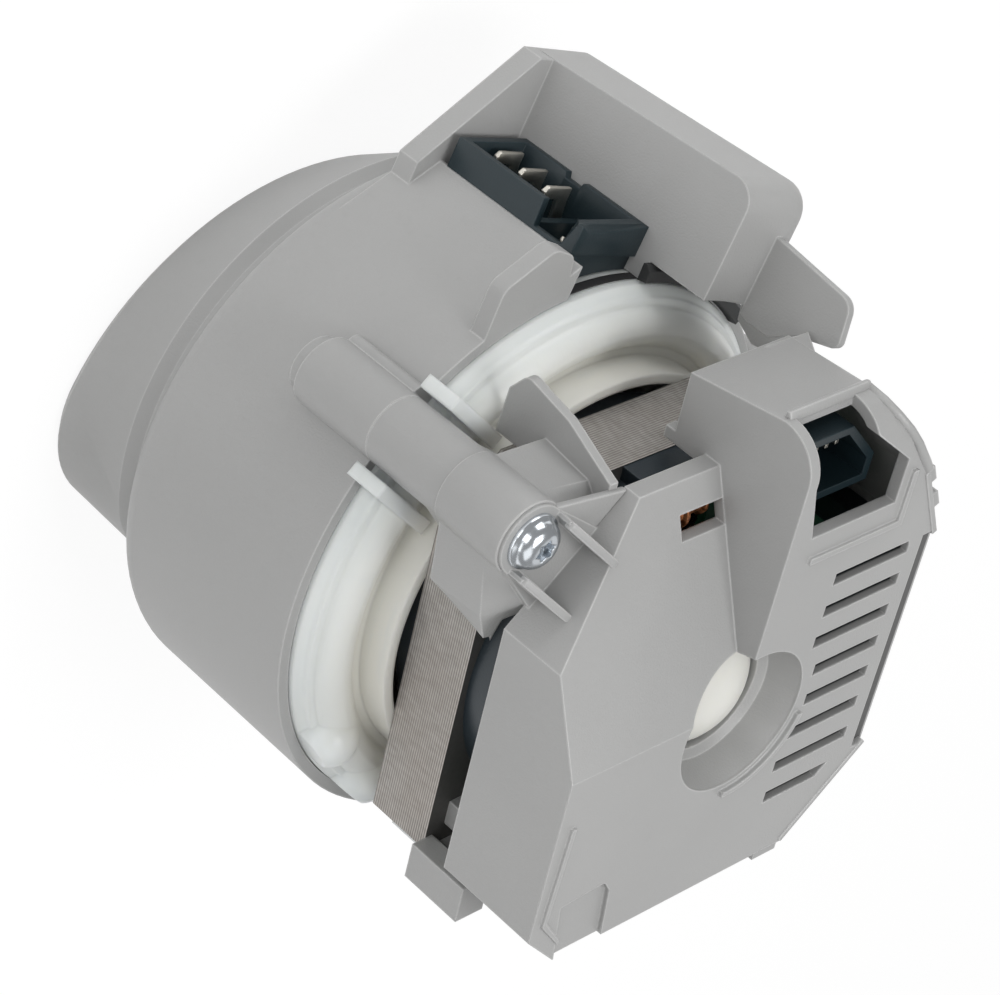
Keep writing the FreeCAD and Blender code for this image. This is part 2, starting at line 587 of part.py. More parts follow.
def pump_housing():
    """Grey moulding: drum, collar, outlet hood, connector pocket, screw bosses and lug."""
    solid = joined([housing_drum(), housing_collar(), housing_hood()] + housing_duct())
    bosses = []
    for radius, angle in SCREW_PLACES:
        x, y = polar(radius, angle - HOUSING_TURN)
        bosses.append(disc(BOSS_R, BOSS_FRONT_Z, BOSS_JOINT_Z, x, y))
        bosses.append(disc(BOSS_R - BOSS_NECK, BOSS_FRONT_Z - BOSS_NECK_LENGTH, BOSS_FRONT_Z, x, y))
        side_x, side_y = polar(radius - 1.0, angle - HOUSING_TURN - BOSS_RIB_TURN)
        bosses.append(disc(BOSS_RIB_R, BOSS_FRONT_Z, DRUM_REAR_Z, side_x, side_y))
    lug = prism(CABLE_LUG, DRUM_REAR_Z - CABLE_LUG_THICK, DRUM_REAR_Z)
    pad = prism(POCKET_PAD, HOOD_FRONT_Z, DRUM_REAR_Z)
    solid = joined([solid] + bosses + [lug, pad])
    solid = solid.cut(disc(DRUM_IN_R, HEATER_FRONT_Z, LEDGE_Z)).cut(
        disc(FLANGE_R + SEAT_GAP, LEDGE_Z, BOSS_JOINT_Z))
    solid = solid.cut(hood_passage()).cut(disc(SUCTION_HOLE_R, FRONT_Z, INSIDE_Z))
    slot = block(CONNECTOR_U[0], CONNECTOR_U[1], CONNECTOR_V[0], CONNECTOR_V[1] + 20.0,
                 CONNECTOR_Z[0], DRUM_REAR_Z + 1.0)
    slot = slot.cut(block(HOOD_INNER_U, HOOD_OUTER_U, DRUM_IN_R, 2.0 * DRUM_R, FRONT_Z, HOOD_REAR_Z))
    solid = solid.cut(slot)
    for radius, angle in SCREW_PLACES:
        x, y = polar(radius, angle - HOUSING_TURN)
        solid = solid.cut(disc(SCREW_SHANK_R, BOSS_REAR_Z - SCREW_REACH, BOSS_JOINT_Z, x, y))
    return turned(solid.removeSplitter(), HOUSING_TURN)


def outlet_seal():
    return turned(outlet_ring(OUTLET_SEAL_PROUD), HOUSING_TURN)


# Suction tube

def suction_tube():
    """Intake bell with ribbed flange; the tube leads through the heater to the impeller eye."""
    flange_front = FRONT_Z - TUBE_FLANGE_THICK
    outer_bell = TUBE_BELL_R + TUBE_BELL_WALL
    inner = [Vec(TUBE_IN_R, 0, TUBE_REAR_Z), Vec(TUBE_IN_R, 0, FRONT_Z)]
    flare = TUBE_BELL_R - TUBE_IN_R
    bell_r = (flare ** 2 + (FRONT_Z - TUBE_BELL_Z) ** 2) / (2.0 * flare)
    half_turn = math.asin((FRONT_Z - TUBE_BELL_Z) / bell_r) / 2.0
    bend = Vec(TUBE_IN_R + bell_r * (1.0 - math.cos(half_turn)), 0, FRONT_Z - bell_r * math.sin(half_turn))
    mouth = Vec(TUBE_BELL_R, 0, TUBE_BELL_Z)
    rest = [mouth, Vec(outer_bell, 0, TUBE_BELL_Z), Vec(outer_bell, 0, flange_front),
            Vec(TUBE_FLANGE_R, 0, flange_front), Vec(TUBE_FLANGE_R, 0, FRONT_Z),
            Vec(SUCTION_HOLE_R - SEAT_GAP, 0, FRONT_Z), Vec(SUCTION_HOLE_R - SEAT_GAP, 0, INSIDE_Z),
            Vec(TUBE_R, 0, INSIDE_Z + TUBE_WALL), Vec(TUBE_R, 0, TUBE_REAR_Z), inner[0]]
    edges = [Part.makeLine(inner[0], inner[1]), Part.Arc(inner[1], bend, mouth).toShape()]
    edges += [Part.makeLine(rest[i], rest[i + 1]) for i in range(len(rest) - 1)]
    body = spin_edges(edges)
    rib_end = TUBE_FLANGE_R - 0.5
    half = TUBE_RIB_THICK / 2.0
    rib = block(TUBE_BELL_R, rib_end, -half, half, TUBE_RIB_Z, flange_front)
    rib = rib.cut(side_wedge(outer_bell, TUBE_RIB_Z, rib_end, flange_front - 1.0))
    return joined([body] + round_the_axis(rib, TUBE_RIBS, 30.0))


def side_wedge(r0, z0, r1, z1):
    """Wedge that slopes the front of a radial rib from (r0, z0) down to (r1, z1)."""
    wire = Part.makePolygon([Vec(r0, -2, z0), Vec(r1 + 1, -2, z0), Vec(r1 + 1, -2, z1), Vec(r1, -2, z1),
                             Vec(r0, -2, z0)])
    return Part.Face(wire).extrude(Vec(0, 4, 0))


# Heater

def heater_tube():
    """Steel tube of the flow heater, held between its two seals."""
    return ring(HEATER_R, HEATER_R - HEATER_WALL, HEATER_FRONT_Z - SEAL_ROD, DIFFUSER_Z)


def heater_tracks():
    """Printed heating layer on the outside of the steel tube, with bare gaps between the tracks."""
    layer = ring(HEATER_R + TRACK_HEIGHT, HEATER_R, TRACK_Z, TRACK_Z + TRACK_LENGTH)
    gap = block(0, HEATER_R + 2.0, -1.0, 1.0, TRACK_Z, TRACK_Z + TRACK_LENGTH)
    layer = layer.cut(turned(gap, 230.0))
    half = TRACK_BRIDGE / 2.0
    for index in range(3):
        z = TRACK_Z + TRACK_LENGTH * (index + 1) / 4.0
        groove = ring(HEATER_R + 2.0, HEATER_R - 1.0, z - TRACK_GAP / 2.0, z + TRACK_GAP / 2.0)
        bridge = block(0, HEATER_R + 3.0, -half, half, z - TRACK_GAP, z + TRACK_GAP)
        layer = layer.cut(groove.cut(turned(bridge, 220.0 if index % 2 else 240.0)))
    return turned(layer, HOUSING_TURN)


def heater_seal_front():
    return ring(HEATER_R + SEAL_ROD, HEATER_R, HEATER_FRONT_Z - SEAL_ROD, HEATER_FRONT_Z)


def heater_seal_rear():
    return ring(HEATER_R + SEAL_ROD, HEATER_R, DIFFUSER_Z - SEAL_ROD, DIFFUSER_Z)


def heater_connector():
    """Black terminal box in the pocket of the housing, open at the top."""
    u0, u1 = CONNECTOR_U[0], HOOD_INNER_U
    z0, z1 = CONNECTOR_Z
    body = block(u0, u1, CONNECTOR_V[0], CONNECTOR_V[1], z0, z1)
    wall = CONNECTOR_WALL
    top = CONNECTOR_V[1]
    above = top + 1.0
    end = z1 - CONNECTOR_END
    room = block(u0 + wall, u1 - wall, CONNECTOR_FLOOR, above, z0 + wall, end)
    end_room = block(u0 + 2.0 * wall, u1 - wall, CONNECTOR_FLOOR + CONNECTOR_STEP, above,
                     end + CONNECTOR_RIB, z1 - wall)
    body = body.cut(room).cut(end_room)
    body = body.cut(block(u0 - 1.0, u0 + wall, top - CONNECTOR_NOTCH, above,
                          end - 1.0, end + CONNECTOR_END / 2.0))
    cut = CONNECTOR_CORNER + 1.0
    corner = prism([(u0 - 1.0, above), (u0 - 1.0, top - cut), (u0 + cut, above)], z0, z0 + wall)
    near = side_prism([(above, z0 + wall), (top, z0 + wall), (top - NEAR_WALL_DROP, end + 1.0),
                       (above, end + 1.0)], u0 - 1.0, u0 + wall)
    body = body.cut(corner).cut(near)
    body = body.cut(disc(HEATER_R + CONNECTOR_SEAT, z0, z1))
    for z in BLADE_Z:
        body = body.cut(blade(z))
    return turned(body, HOUSING_TURN)


def blade(z):
    """Bent tin blade: foot on the heater track, leg through the connector floor, bent tip."""
    middle = (CONNECTOR_U[0] + HOOD_INNER_U) / 2.0 + BLADE_OFFSET
    half = BLADE_WIDTH / 2.0
    foot_v = math.sqrt((HEATER_R + TRACK_HEIGHT) ** 2 - middle ** 2) + 0.1
    leg = block(middle - half, middle + half, foot_v, BLADE_TOP_V, z, z + BLADE_THICK)
    tip = block(middle - half, middle + half, BLADE_TOP_V - BLADE_THICK, BLADE_TOP_V, z, z + BLADE_BEND)
    width, start, length = BLADE_SLOT
    tip = tip.cut(block(middle - width / 2.0, middle + width / 2.0, BLADE_TOP_V - BLADE_THICK, BLADE_TOP_V,
                        z + start, z + start + length))
    return leg.fuse(tip).removeSplitter().cut(disc(HEATER_R + TRACK_HEIGHT, z - 1.0, z + BLADE_BEND + 1.0))


def heater_terminals():
    return turned(Part.makeCompound([blade(z) for z in BLADE_Z]), HOUSING_TURN)


def temperature_sensor():
    """Sensor block that sits on the steel tube."""
    depth, half, length = SENSOR_SIZE[0], SENSOR_SIZE[1] / 2.0, SENSOR_SIZE[2]
    z0 = TRACK_Z + 1.0
    body = block(HEATER_R - 3.0, HEATER_R + depth, -half, half, z0, z0 + length)
    body = body.cut(disc(HEATER_R + TRACK_HEIGHT, z0 - 1.0, z0 + length + 1.0))
    return turned(body, SENSOR_ANGLE + HOUSING_TURN)


# Impeller and diffuser

def curved_vane(r0, r1, sweep, thick, z0, z1):
    """Backward-curved vane of even thickness between two radii."""
    x0, y0 = polar(r0, 0.0)
    xm, ym = polar((r0 + r1) / 2.0, -sweep * 0.42)
    x1, y1 = polar(r1, -sweep)
    spine = Part.Arc(Vec(x0, y0, z0), Vec(xm, ym, z0), Vec(x1, y1, z0)).toShape().Curve
    centre = spine.Center
    radius = spine.Radius
    tube = ring(radius + thick / 2.0, radius - thick / 2.0, z0, z1, centre.x, centre.y)
    zone = ring(r1, r0, z0, z1)
    pie = Part.Face(outline([(centre.x, centre.y), stretch(centre, x0, y0), stretch(centre, xm, ym),
                             stretch(centre, x1, y1)], z0)).extrude(Vec(0, 0, z1 - z0))
    return tube.common(pie).common(zone)


def stretch(centre, x, y):
    """Point on the ray from the centre through (x, y), well outside the vane."""
    return centre.x + (x - centre.x) * 1.6, centre.y + (y - centre.y) * 1.6


def impeller():
    """Hub, back plate and backward-curved vanes, moulded in one."""
    hub = disc(HUB_R, SHAFT_FRONT_Z - 1.0, HUB_REAR_Z)
    nose = Part.makeCone(NOSE_TIP_R, HUB_R, NOSE_HEIGHT, Vec(0, 0, SHAFT_FRONT_Z - 1.0 - NOSE_HEIGHT))
    plate = disc(IMPELLER_R, PLATE_FRONT_Z, HUB_REAR_Z)
    vane = curved_vane(VANE_IN_R, IMPELLER_R, VANE_SWEEP, VANE_THICK, VANE_Z, PLATE_FRONT_Z + 0.5)
    body = joined([hub, nose, plate] + round_the_axis(vane, VANE_COUNT))
    return body.cut(disc(SHAFT_R, SHAFT_FRONT_Z, HUB_REAR_Z))


def impeller_shroud():
    """Front cover of the impeller with the lip that runs round the suction tube."""
    eye = TUBE_R + RUN_GAP
    return spin([(eye, IMPELLER_FRONT_Z - EYE_LIP), (eye + EYE_WALL, IMPELLER_FRONT_Z - EYE_LIP),
                 (eye + EYE_WALL, IMPELLER_FRONT_Z), (IMPELLER_R, IMPELLER_FRONT_Z + SHROUD_FALL),
                 (IMPELLER_R, VANE_Z), (eye, VANE_Z)])


def diffuser():
    """Plate with guide vanes, bearing hub and skirt that holds the rear heater seal."""
    seal_r = HEATER_R + SEAL_ROD
    plate = disc(seal_r + DIFFUSER_SKIRT_WALL, DIFFUSER_Z, LEDGE_Z)
    skirt = ring(seal_r + DIFFUSER_SKIRT_WALL, seal_r, DIFFUSER_Z - DIFFUSER_SKIRT, DIFFUSER_Z)
    vane = curved_vane(GUIDE_IN_R, GUIDE_OUT_R, DIFFUSER_VANE_SWEEP, DIFFUSER_VANE_THICK,
                       DIFFUSER_Z - DIFFUSER_VANE_HEIGHT, DIFFUSER_Z + 0.5)
    hub_r = BEARING_OUT_R + CARRIER_HUB_WALL
    hub = disc(hub_r, DIFFUSER_Z, CARRIER_HUB_REAR)
    body = joined([plate, skirt, hub] + round_the_axis(vane, DIFFUSER_VANES, 10.0))
    body = body.cut(disc(BEARING_OUT_R, CARRIER_HUB_REAR - FRONT_BEARING_LENGTH, CARRIER_HUB_REAR))
    body = body.cut(disc(SHAFT_R + RUN_GAP, DIFFUSER_Z, CARRIER_HUB_REAR))
    hole_r = (hub_r + CAN_IN_R) / 2.0
    holes = round_the_axis(disc(CARRIER_HOLE_R, DIFFUSER_Z, LEDGE_Z, hole_r, 0), CARRIER_HOLES)
    for hole in holes:
        body = body.cut(hole)
    return body


# Rotor

def rotor_shaft():
    return disc(SHAFT_R, SHAFT_FRONT_Z, SHAFT_REAR_Z)


def front_bearing():
    return ring(BEARING_OUT_R, BEARING_IN_R, CARRIER_HUB_REAR - FRONT_BEARING_LENGTH, CARRIER_HUB_REAR)


def rear_bearing():
    return ring(BEARING_OUT_R, BEARING_IN_R, CAN_REAR_Z, CAN_REAR_Z + REAR_BEARING_LENGTH)


def thrust_washer():
    return ring(THRUST_R, SHAFT_R, ROTOR_Z[0] - THRUST_THICK, ROTOR_Z[0])


def rotor_core():
    return ring(ROTOR_CORE_R, SHAFT_R, ROTOR_Z[0], ROTOR_Z[1])


def rotor_magnet():
    return ring(MAGNET_R, ROTOR_CORE_R, ROTOR_Z[0], ROTOR_Z[1])


# Motor flange

def flange_body():
    """White bowl with its stepped shoulder, crest and stator rim, in one with the thin-walled rotor can."""
    rim_out = RIM_R + RIM_WALL
    cap_in_z = SHAFT_REAR_Z + SHAFT_END_PLAY
    can_end = CAN_REAR_Z - CAN_WALL
    edge = [(FLANGE_R, LEDGE_Z), (FLANGE_R, FLANGE_EDGE_Z)] + list(FLANGE_STEPS)
    step_r, step_z = FLANGE_STEPS[-1]
    shoulder = Vec((step_r + CREST_R) / 2.0, 0, (step_z + CREST_Z) / 2.0 + 0.5)
    crest = Vec(CREST_R, 0, CREST_Z)
    slide = Vec((CREST_R + VALLEY_R) / 2.0, 0, (CREST_Z + VALLEY_Z) / 2.0 + 0.5)
    valley = Vec(VALLEY_R, 0, VALLEY_Z)
    edges = profile_lines(edge)
    edges.append(Part.Arc(Vec(step_r, 0, step_z), shoulder, crest).toShape())
    edges.append(Part.Arc(crest, slide, valley).toShape())
    edges += profile_lines([(VALLEY_R, VALLEY_Z), (rim_out, VALLEY_Z), (rim_out, STATOR_Z), (RIM_R, STATOR_Z),
                            (RIM_R, FLANGE_FLOOR_Z), (CAN_R, FLANGE_FLOOR_Z), (CAN_R, CAN_REAR_Z),
                            (CAP_R, CAN_REAR_Z), (CAP_R, CAP_SIDE_Z)])
    edges.append(dome_arc(CAP_R, CAP_SIDE_Z, CAP_TOP_Z))
    under = []
    for inner, outer, roof in UNDER_POCKETS:
        under += [(inner, LEDGE_Z), (inner, roof), (outer, roof), (outer, LEDGE_Z)]
    edges += profile_lines([(0, CAP_TOP_Z), (0, cap_in_z), (BEARING_OUT_R, cap_in_z), (BEARING_OUT_R, can_end),
                            (CAN_IN_R, can_end), (CAN_IN_R, LEDGE_Z)] + under + [edge[0]])
    return spin_edges(edges)


def profile_lines(points):
    """Straight edges through (radius, z) points."""
    return [Part.makeLine(Vec(points[i][0], 0, points[i][1]), Vec(points[i + 1][0], 0, points[i + 1][1]))
            for i in range(len(points) - 1)]


def motor_flange():
    """Bowl and can, cut out round the screw bosses, with fork walls beside them and round lugs."""
    body = flange_body()
    walls = []
    notches = []
    low = FLANGE_EDGE_Z
    for radius, angle in SCREW_PLACES:
        near = BOSS_R + FORK_PLAY
        wall = block(FORK_R[0], FORK_R[1], near, near + FORK_WALL, low, low + FORK_HEIGHT)
        walls += [turned(wall, angle), turned(wall.mirror(Vec(0, 0, 0), Vec(0, 1, 0)), angle)]
        x, y = polar(radius, angle)
        notches.append(disc(BOSS_R + ROUND_PLAY, LEDGE_Z, STACK_REAR_Z, x, y))
    lugs = []
    for angle in LUG_ANGLES:
        x, y = polar(LUG_CENTRE_R, angle)
        lugs.append(disc(LUG_R, LEDGE_Z + 3.0, FLANGE_EDGE_Z + 2.0, x, y))
        lugs.append(Part.makeSphere(LUG_R, Vec(x, y, FLANGE_EDGE_Z + 2.0)))
    body = joined([body] + walls + [lug.common(disc(FLANGE_R, LEDGE_Z, STATOR_Z)) for lug in lugs])
    for notch in notches:
        body = body.cut(notch)
    body = body.cut(disc(RIM_R, FLANGE_FLOOR_Z, STATOR_Z).cut(disc(CAN_R, FLANGE_FLOOR_Z, STATOR_Z)))
    return body.cut(flange_seal())


def flange_seal():
    """Seal in the groove of the flange edge, against the socket of the drum."""
    outer = FLANGE_R + SEAT_GAP
    return ring(outer, FLANGE_R - FLANGE_SEAL, FLANGE_SEAL_Z, FLANGE_SEAL_Z + FLANGE_SEAL)


# Stator

def stack_outline():
    half, low, cut, arm_cut = STACK_HALF, STACK_LOW, STACK_CORNER, STACK_ARM_CORNER
    return [(-half, low + cut), (-half + cut, low), (half - cut, low), (half, low + cut), (half, half - cut),
            (half - cut, half), (-half + arm_cut, half), (-half, half - arm_cut)]


def stator_core():
    """Lamination stack with six teeth, cut corners and a round bore."""
    body = prism(stack_outline(), STATOR_Z, STACK_REAR_Z).cut(disc(YOKE_IN_R, STATOR_Z, STACK_REAR_Z))
    width = TOOTH_WIDTH / 2.0
    tooth = block(TOOTH_TIP_R - 1.0, YOKE_IN_R + 1.0, -width, width, STATOR_Z, STACK_REAR_Z)
    shoe = block(TOOTH_TIP_R - 2.5, TOOTH_TIP_R + TOOTH_SHOE, -SHOE_WIDTH / 2.0, SHOE_WIDTH / 2.0,
                 STATOR_Z, STACK_REAR_Z)
    body = joined([body] + round_the_axis(tooth.fuse(shoe), TOOTH_COUNT, 30.0))
    return body.cut(disc(TOOTH_TIP_R, STATOR_Z, STACK_REAR_Z))


def insulator(z_seat, z_far, middle):
    """Half of the winding frame: ring on the yoke and open sleeves over the teeth."""
    z0, z1 = min(z_seat, z_far), max(z_seat, z_far)
    body = [ring(YOKE_IN_R + INSULATOR_RING, YOKE_IN_R, z0, z1)]
    inner = TOOTH_WIDTH / 2.0
    outer = inner + SLEEVE_WALL
    cap = z_seat + math.copysign(SLEEVE_WALL, z_far - z_seat)
    s0, s1 = min(cap, middle), max(cap, middle)
    sleeve = block(COIL_R[0] - 0.2, YOKE_IN_R + 0.5, -outer, outer, s0, s1)
    t0, t1 = min(z_seat, middle), max(z_seat, middle)
    sleeve = sleeve.cut(block(COIL_R[0] - 1.0, YOKE_IN_R + 2.0, -inner, inner, t0, t1))
    sleeve = sleeve.cut(ring(YOKE_IN_R + 2.0, YOKE_IN_R, t0, t1))
    body += round_the_axis(sleeve, TOOTH_COUNT, 30.0)
    return joined(body)


def insulator_front():
    return insulator(STATOR_Z, STATOR_Z - INSULATOR_FRONT, (STATOR_Z + STACK_REAR_Z) / 2.0)


def insulator_rear():
    """Rear half of the winding frame, with the posts that carry the circuit board."""
    body = insulator(STACK_REAR_Z, BOARD_Z - POST_LENGTH, (STATOR_Z + STACK_REAR_Z) / 2.0)
    middle_r = YOKE_IN_R + INSULATOR_RING / 2.0
    posts = round_the_axis(disc(POST_R, BOARD_Z - POST_LENGTH - 1.0, BOARD_Z, middle_r, 0), TOOTH_COUNT, 0.0)
    x0, x1, y0, y1, height = KEY_BLOCK
    return joined([body, block(x0, x1, y0, y1, STACK_REAR_Z, STACK_REAR_Z + height)] + posts)


def stator_coils():
    """One racetrack winding on each tooth."""
    width = TOOTH_WIDTH / 2.0 + SLEEVE_WALL
    z0, z1 = STATOR_Z - SLEEVE_WALL, STACK_REAR_Z + SLEEVE_WALL
    build = COIL_BUILD
    half = width + build
    low, high = z0 - build, z1 + build
    outer = side_prism([(-half, low, COIL_CORNER_R), (half, low, COIL_CORNER_R),
                        (half, high, COIL_CORNER_R), (-half, high, COIL_CORNER_R)], COIL_R[0], COIL_R[1])
    coil = outer.cut(block(COIL_R[0], COIL_R[1], -width, width, z0, z1))
    return Part.makeCompound(round_the_axis(coil, TOOTH_COUNT, 30.0))


# Electronics

def circuit_board():
    """Board round the rotor can, reaching into the connector box, with a notch below the peep window."""
    board = prism(inset(COVER_OUTLINE, COVER_WALL + BOARD_MARGIN), BOARD_Z, BOARD_TOP_Z)
    board = board.cut(disc(CAN_R + BOARD_HOLE_PLAY, BOARD_Z, BOARD_TOP_Z))
    board = board.cut(box_beyond(COVER_WALL + BOARD_MARGIN))
    left, right, low = BOARD_NOTCH
    board = board.cut(block(left, right, low, BOX_HIGH, BOARD_Z, BOARD_TOP_Z))
    half = COVER_POST / 2.0 + POST_HOLE_PLAY
    for x, y in POST_PLACES:
        board = board.cut(block(x - half, x + half, y - half, y + half, BOARD_Z, BOARD_TOP_Z))
    return board


def board_capacitors():
    cans = []
    low, high, depth = CAN_NECK
    for x, y, radius, height in CAPACITORS:
        can = disc(radius, BOARD_TOP_Z, BOARD_TOP_Z + height, x, y)
        neck = ring(radius + 1.0, radius - depth, BOARD_TOP_Z + low, BOARD_TOP_Z + high, x, y)
        cans.append(can.cut(neck))
    return Part.makeCompound(cans)


def board_chips():
    chips = []
    for x, y, width, depth, height in CHIPS:
        chips.append(block(x, x + width, y, y + depth, BOARD_TOP_Z, BOARD_TOP_Z + height))
    return Part.makeCompound(chips)


def board_choke():
    outer, inner, height = CHOKE
    x, y = CHOKE_PLACE
    return ring(outer, inner, BOARD_TOP_Z, BOARD_TOP_Z + height, x, y)


def socket_outline(inset):
    x0, x1 = SOCKET_X[0] + inset, SOCKET_X[1] - inset
    y0, y1 = SOCKET_Y[0] + inset, SOCKET_Y[1] - inset
    cut = SOCKET_CUT - inset * 0.6
    return [(x0, y0), (x1, y0), (x1, y1 - cut), (x1 - cut, y1), (x0 - 1.0 + inset, y1)]


def pin_x(index):
    return SOCKET_X[0] + PIN_START + PIN_PITCH * index


def motor_connector():
    """Black socket on the board, behind the opening of the cover."""
    top = BOARD_TOP_Z + SOCKET_FLOOR + SOCKET_DEPTH
    body = prism(socket_outline(0.0), BOARD_TOP_Z, top)
    body = body.cut(prism(socket_outline(SOCKET_WALL), BOARD_TOP_Z + SOCKET_FLOOR, top))
    start, width, depth = SOCKET_KEY
    key = block(SOCKET_X[0] + start, SOCKET_X[0] + start + width, SOCKET_Y[0], SOCKET_Y[0] + depth,
                BOARD_TOP_Z, top - SOCKET_FLOOR)
    body = body.fuse(key).removeSplitter()
    for index in range(PIN_COUNT):
        body = body.cut(connector_pin(index))
    return body


def connector_pin(index):
    half = PIN_SIDE / 2.0
    x = pin_x(index)
    y = (SOCKET_Y[0] + SOCKET_Y[1]) / 2.0
    return block(x - half, x + half, y - half, y + half, BOARD_TOP_Z, BOARD_TOP_Z + SOCKET_FLOOR + PIN_LENGTH)


def connector_pins():
    return Part.makeCompound([connector_pin(index) for index in range(PIN_COUNT)])


# Rear cover

def above_slope(x1, drop):
    """Everything above the sloping face, up to the wall at x1."""
    far = BOX_HIGH + 10.0
    start = SLOPE_START_Y
    return side_prism([(start, PLATE_Z - drop), (far, slope_z(far, drop)), (far, PLATE_Z + 20.0),
                       (start, PLATE_Z + 20.0)], 2.0 * COVER_LEFT, x1)


def slope_z(y, drop=0.0):
    return PLATE_Z - drop - SLOPE * (y - SLOPE_START_Y)


def box_beyond(wall):
    """Everything outside the drafted top wall of the connector box and its rounded rear edge."""
    edge_r = BOX_EDGE_R - wall
    high = BOX_HIGH - wall
    far = BOX_HIGH + 10.0
    top = PLATE_Z - wall
    bend = edge_r * math.sqrt(0.5)
    points = [Vec(0, high - BOX_DRAFT, BOX_OPEN_Z), Vec(0, high, BOX_DRAFT_Z),
              Vec(0, high - edge_r + bend, top - edge_r + bend), Vec(0, high - edge_r, top),
              Vec(0, high - edge_r, far + top), Vec(0, far, far + top), Vec(0, far, COVER_OPEN_Z - 1.0),
              Vec(0, high - BOX_DRAFT, COVER_OPEN_Z - 1.0)]
    edges = [Part.makeLine(points[0], points[1]), Part.Arc(points[1], points[2], points[3]).toShape()]
    rest = points[3:] + points[:1]
    edges += [Part.makeLine(rest[i], rest[i + 1]) for i in range(len(rest) - 1)]
    face = Part.Face(Part.Wire(edges))
    face.translate(Vec(STEP_X - 1.0, 0, 0))
    return face.extrude(Vec(COVER_RIGHT - STEP_X + 2.0, 0, 0))


def cover_room():
    """Space inside the walls of the cover, run on through its open end."""
    room = prism(inset(COVER_OUTLINE, COVER_WALL), FLANGE_FLOOR_Z, COVER_IN_Z)
    side = STEP_X + COVER_WALL
    return room.cut(above_slope(side, COVER_WALL)).cut(box_beyond(COVER_WALL))


def cover_shell():
    """Hollow moulding: level plate, sloping face, drafted connector box and side walls."""
    outer = prism(COVER_OUTLINE, COVER_OPEN_Z, PLATE_Z).cut(above_slope(STEP_X, 0.0)).cut(box_beyond(0.0))
    shell = outer.cut(cover_room())
    window = block(COVER_LEFT - 1.0, STEP_X, COVER_LOW + WINDOW_SILL, BOX_HIGH, COVER_OPEN_Z, WINDOW_Z)
    box_end = block(STEP_X - 1.0, COVER_RIGHT, COVER_HIGH, BOX_HIGH, COVER_OPEN_Z, BOX_OPEN_Z)
    return shell.cut(window).cut(box_end)


def rear_cover():
    """Grey rear cover with vents, socket opening, recess, posts, screw arms and latch tabs."""
    adds = [cover_post(x, y) for x, y in POST_PLACES]
    adds += [cover_arm(radius, angle) for radius, angle in SCREW_PLACES]
    adds += [recess_wall(), recess_rib(), cover_fin(), cover_foot(), corner_bead()]
    adds += latch_tabs() + socket_ridge()
    adds.append(upright(list(GUSSET), GUSSET_Y[0], GUSSET_Y[1] - GUSSET_Y[0]))
    body = joined([cover_shell()] + adds)
    body = body.cut(recess_room()).cut(vents()).cut(socket_opening()).cut(edge_bevel())
    body = body.cut(prism(POCKET, PLATE_Z - POCKET_DEPTH, PLATE_Z + 1.0))
    body = body.cut(block(PEEP_X[0], PEEP_X[1], PEEP_Y[0], PEEP_Y[1], COVER_OPEN_Z, PLATE_Z))
    for radius, angle in SCREW_PLACES:
        x, y = polar(radius, angle)
        body = body.cut(disc(SHANK_HOLE_R, BOSS_JOINT_Z, BOSS_REAR_Z, x, y))
        body = body.cut(disc(SCREW_HEAD_R + 0.6, BOSS_REAR_Z, PLATE_Z, x, y))
    return body


def vents():
    """Row of slots; those beside the recess start clear of its wall."""
    clear = RECESS_R + RECESS_WALL + 0.5
    slots = []
    for top in SLOT_TOPS:
        low = top - SLOT_HEIGHT
        nearest = min(abs(top), abs(low))
        left = max(SLOT_X[0], math.sqrt(max(clear ** 2 - nearest ** 2, 0.0)))
        slots.append(block(left, SLOT_X[1], low, top, COVER_IN_Z - 1.0, PLATE_Z + 1.0))
    zone = prism(inset(COVER_OUTLINE, SLOT_MARGIN), COVER_IN_Z - 1.0, PLATE_Z + 1.0)
    return Part.makeCompound(slots).common(zone)


def edge_bevel():
    """Wedge that takes the corner between the plate and the right wall."""
    low, high = COVER_LOW + LOW_CUT, BOX_CORNERS[0][1]
    start = Vec(COVER_RIGHT - BEVEL, low, PLATE_Z)
    wire = Part.makePolygon([start, Vec(COVER_RIGHT + 1.0, low, PLATE_Z + 1.0),
                             Vec(COVER_RIGHT + 1.0, low, PLATE_Z - BEVEL - 1.0), start])
    return Part.Face(wire).extrude(Vec(0, high - low, 0))


def cover_post(x, y):
    half = COVER_POST / 2.0
    end = COVER_IN_Z + 1.0 if x > STEP_X or y < SLOPE_START_Y else slope_z(y)
    return block(x - half, x + half, y - half, y + half, STACK_REAR_Z, end)


def upright(points, y, thick):
    """Wall across Y of a profile given as (x, z) points."""
    wire = Part.makePolygon([Vec(x, y, z) for x, z in points + points[:1]])
    return Part.Face(wire).extrude(Vec(0, thick, 0))


def skirt_wire(z, root_half, middle_r, middle_half, end_r):
    """Level section of the skirt, from the wall of the cover out to the boss."""
    half = [(ARM_ROOT_R, root_half), (middle_r, middle_half), (end_r, BOSS_R - 0.2)]
    return outline([(r, -h) for r, h in half] + [(r, h) for r, h in reversed(half)], z)


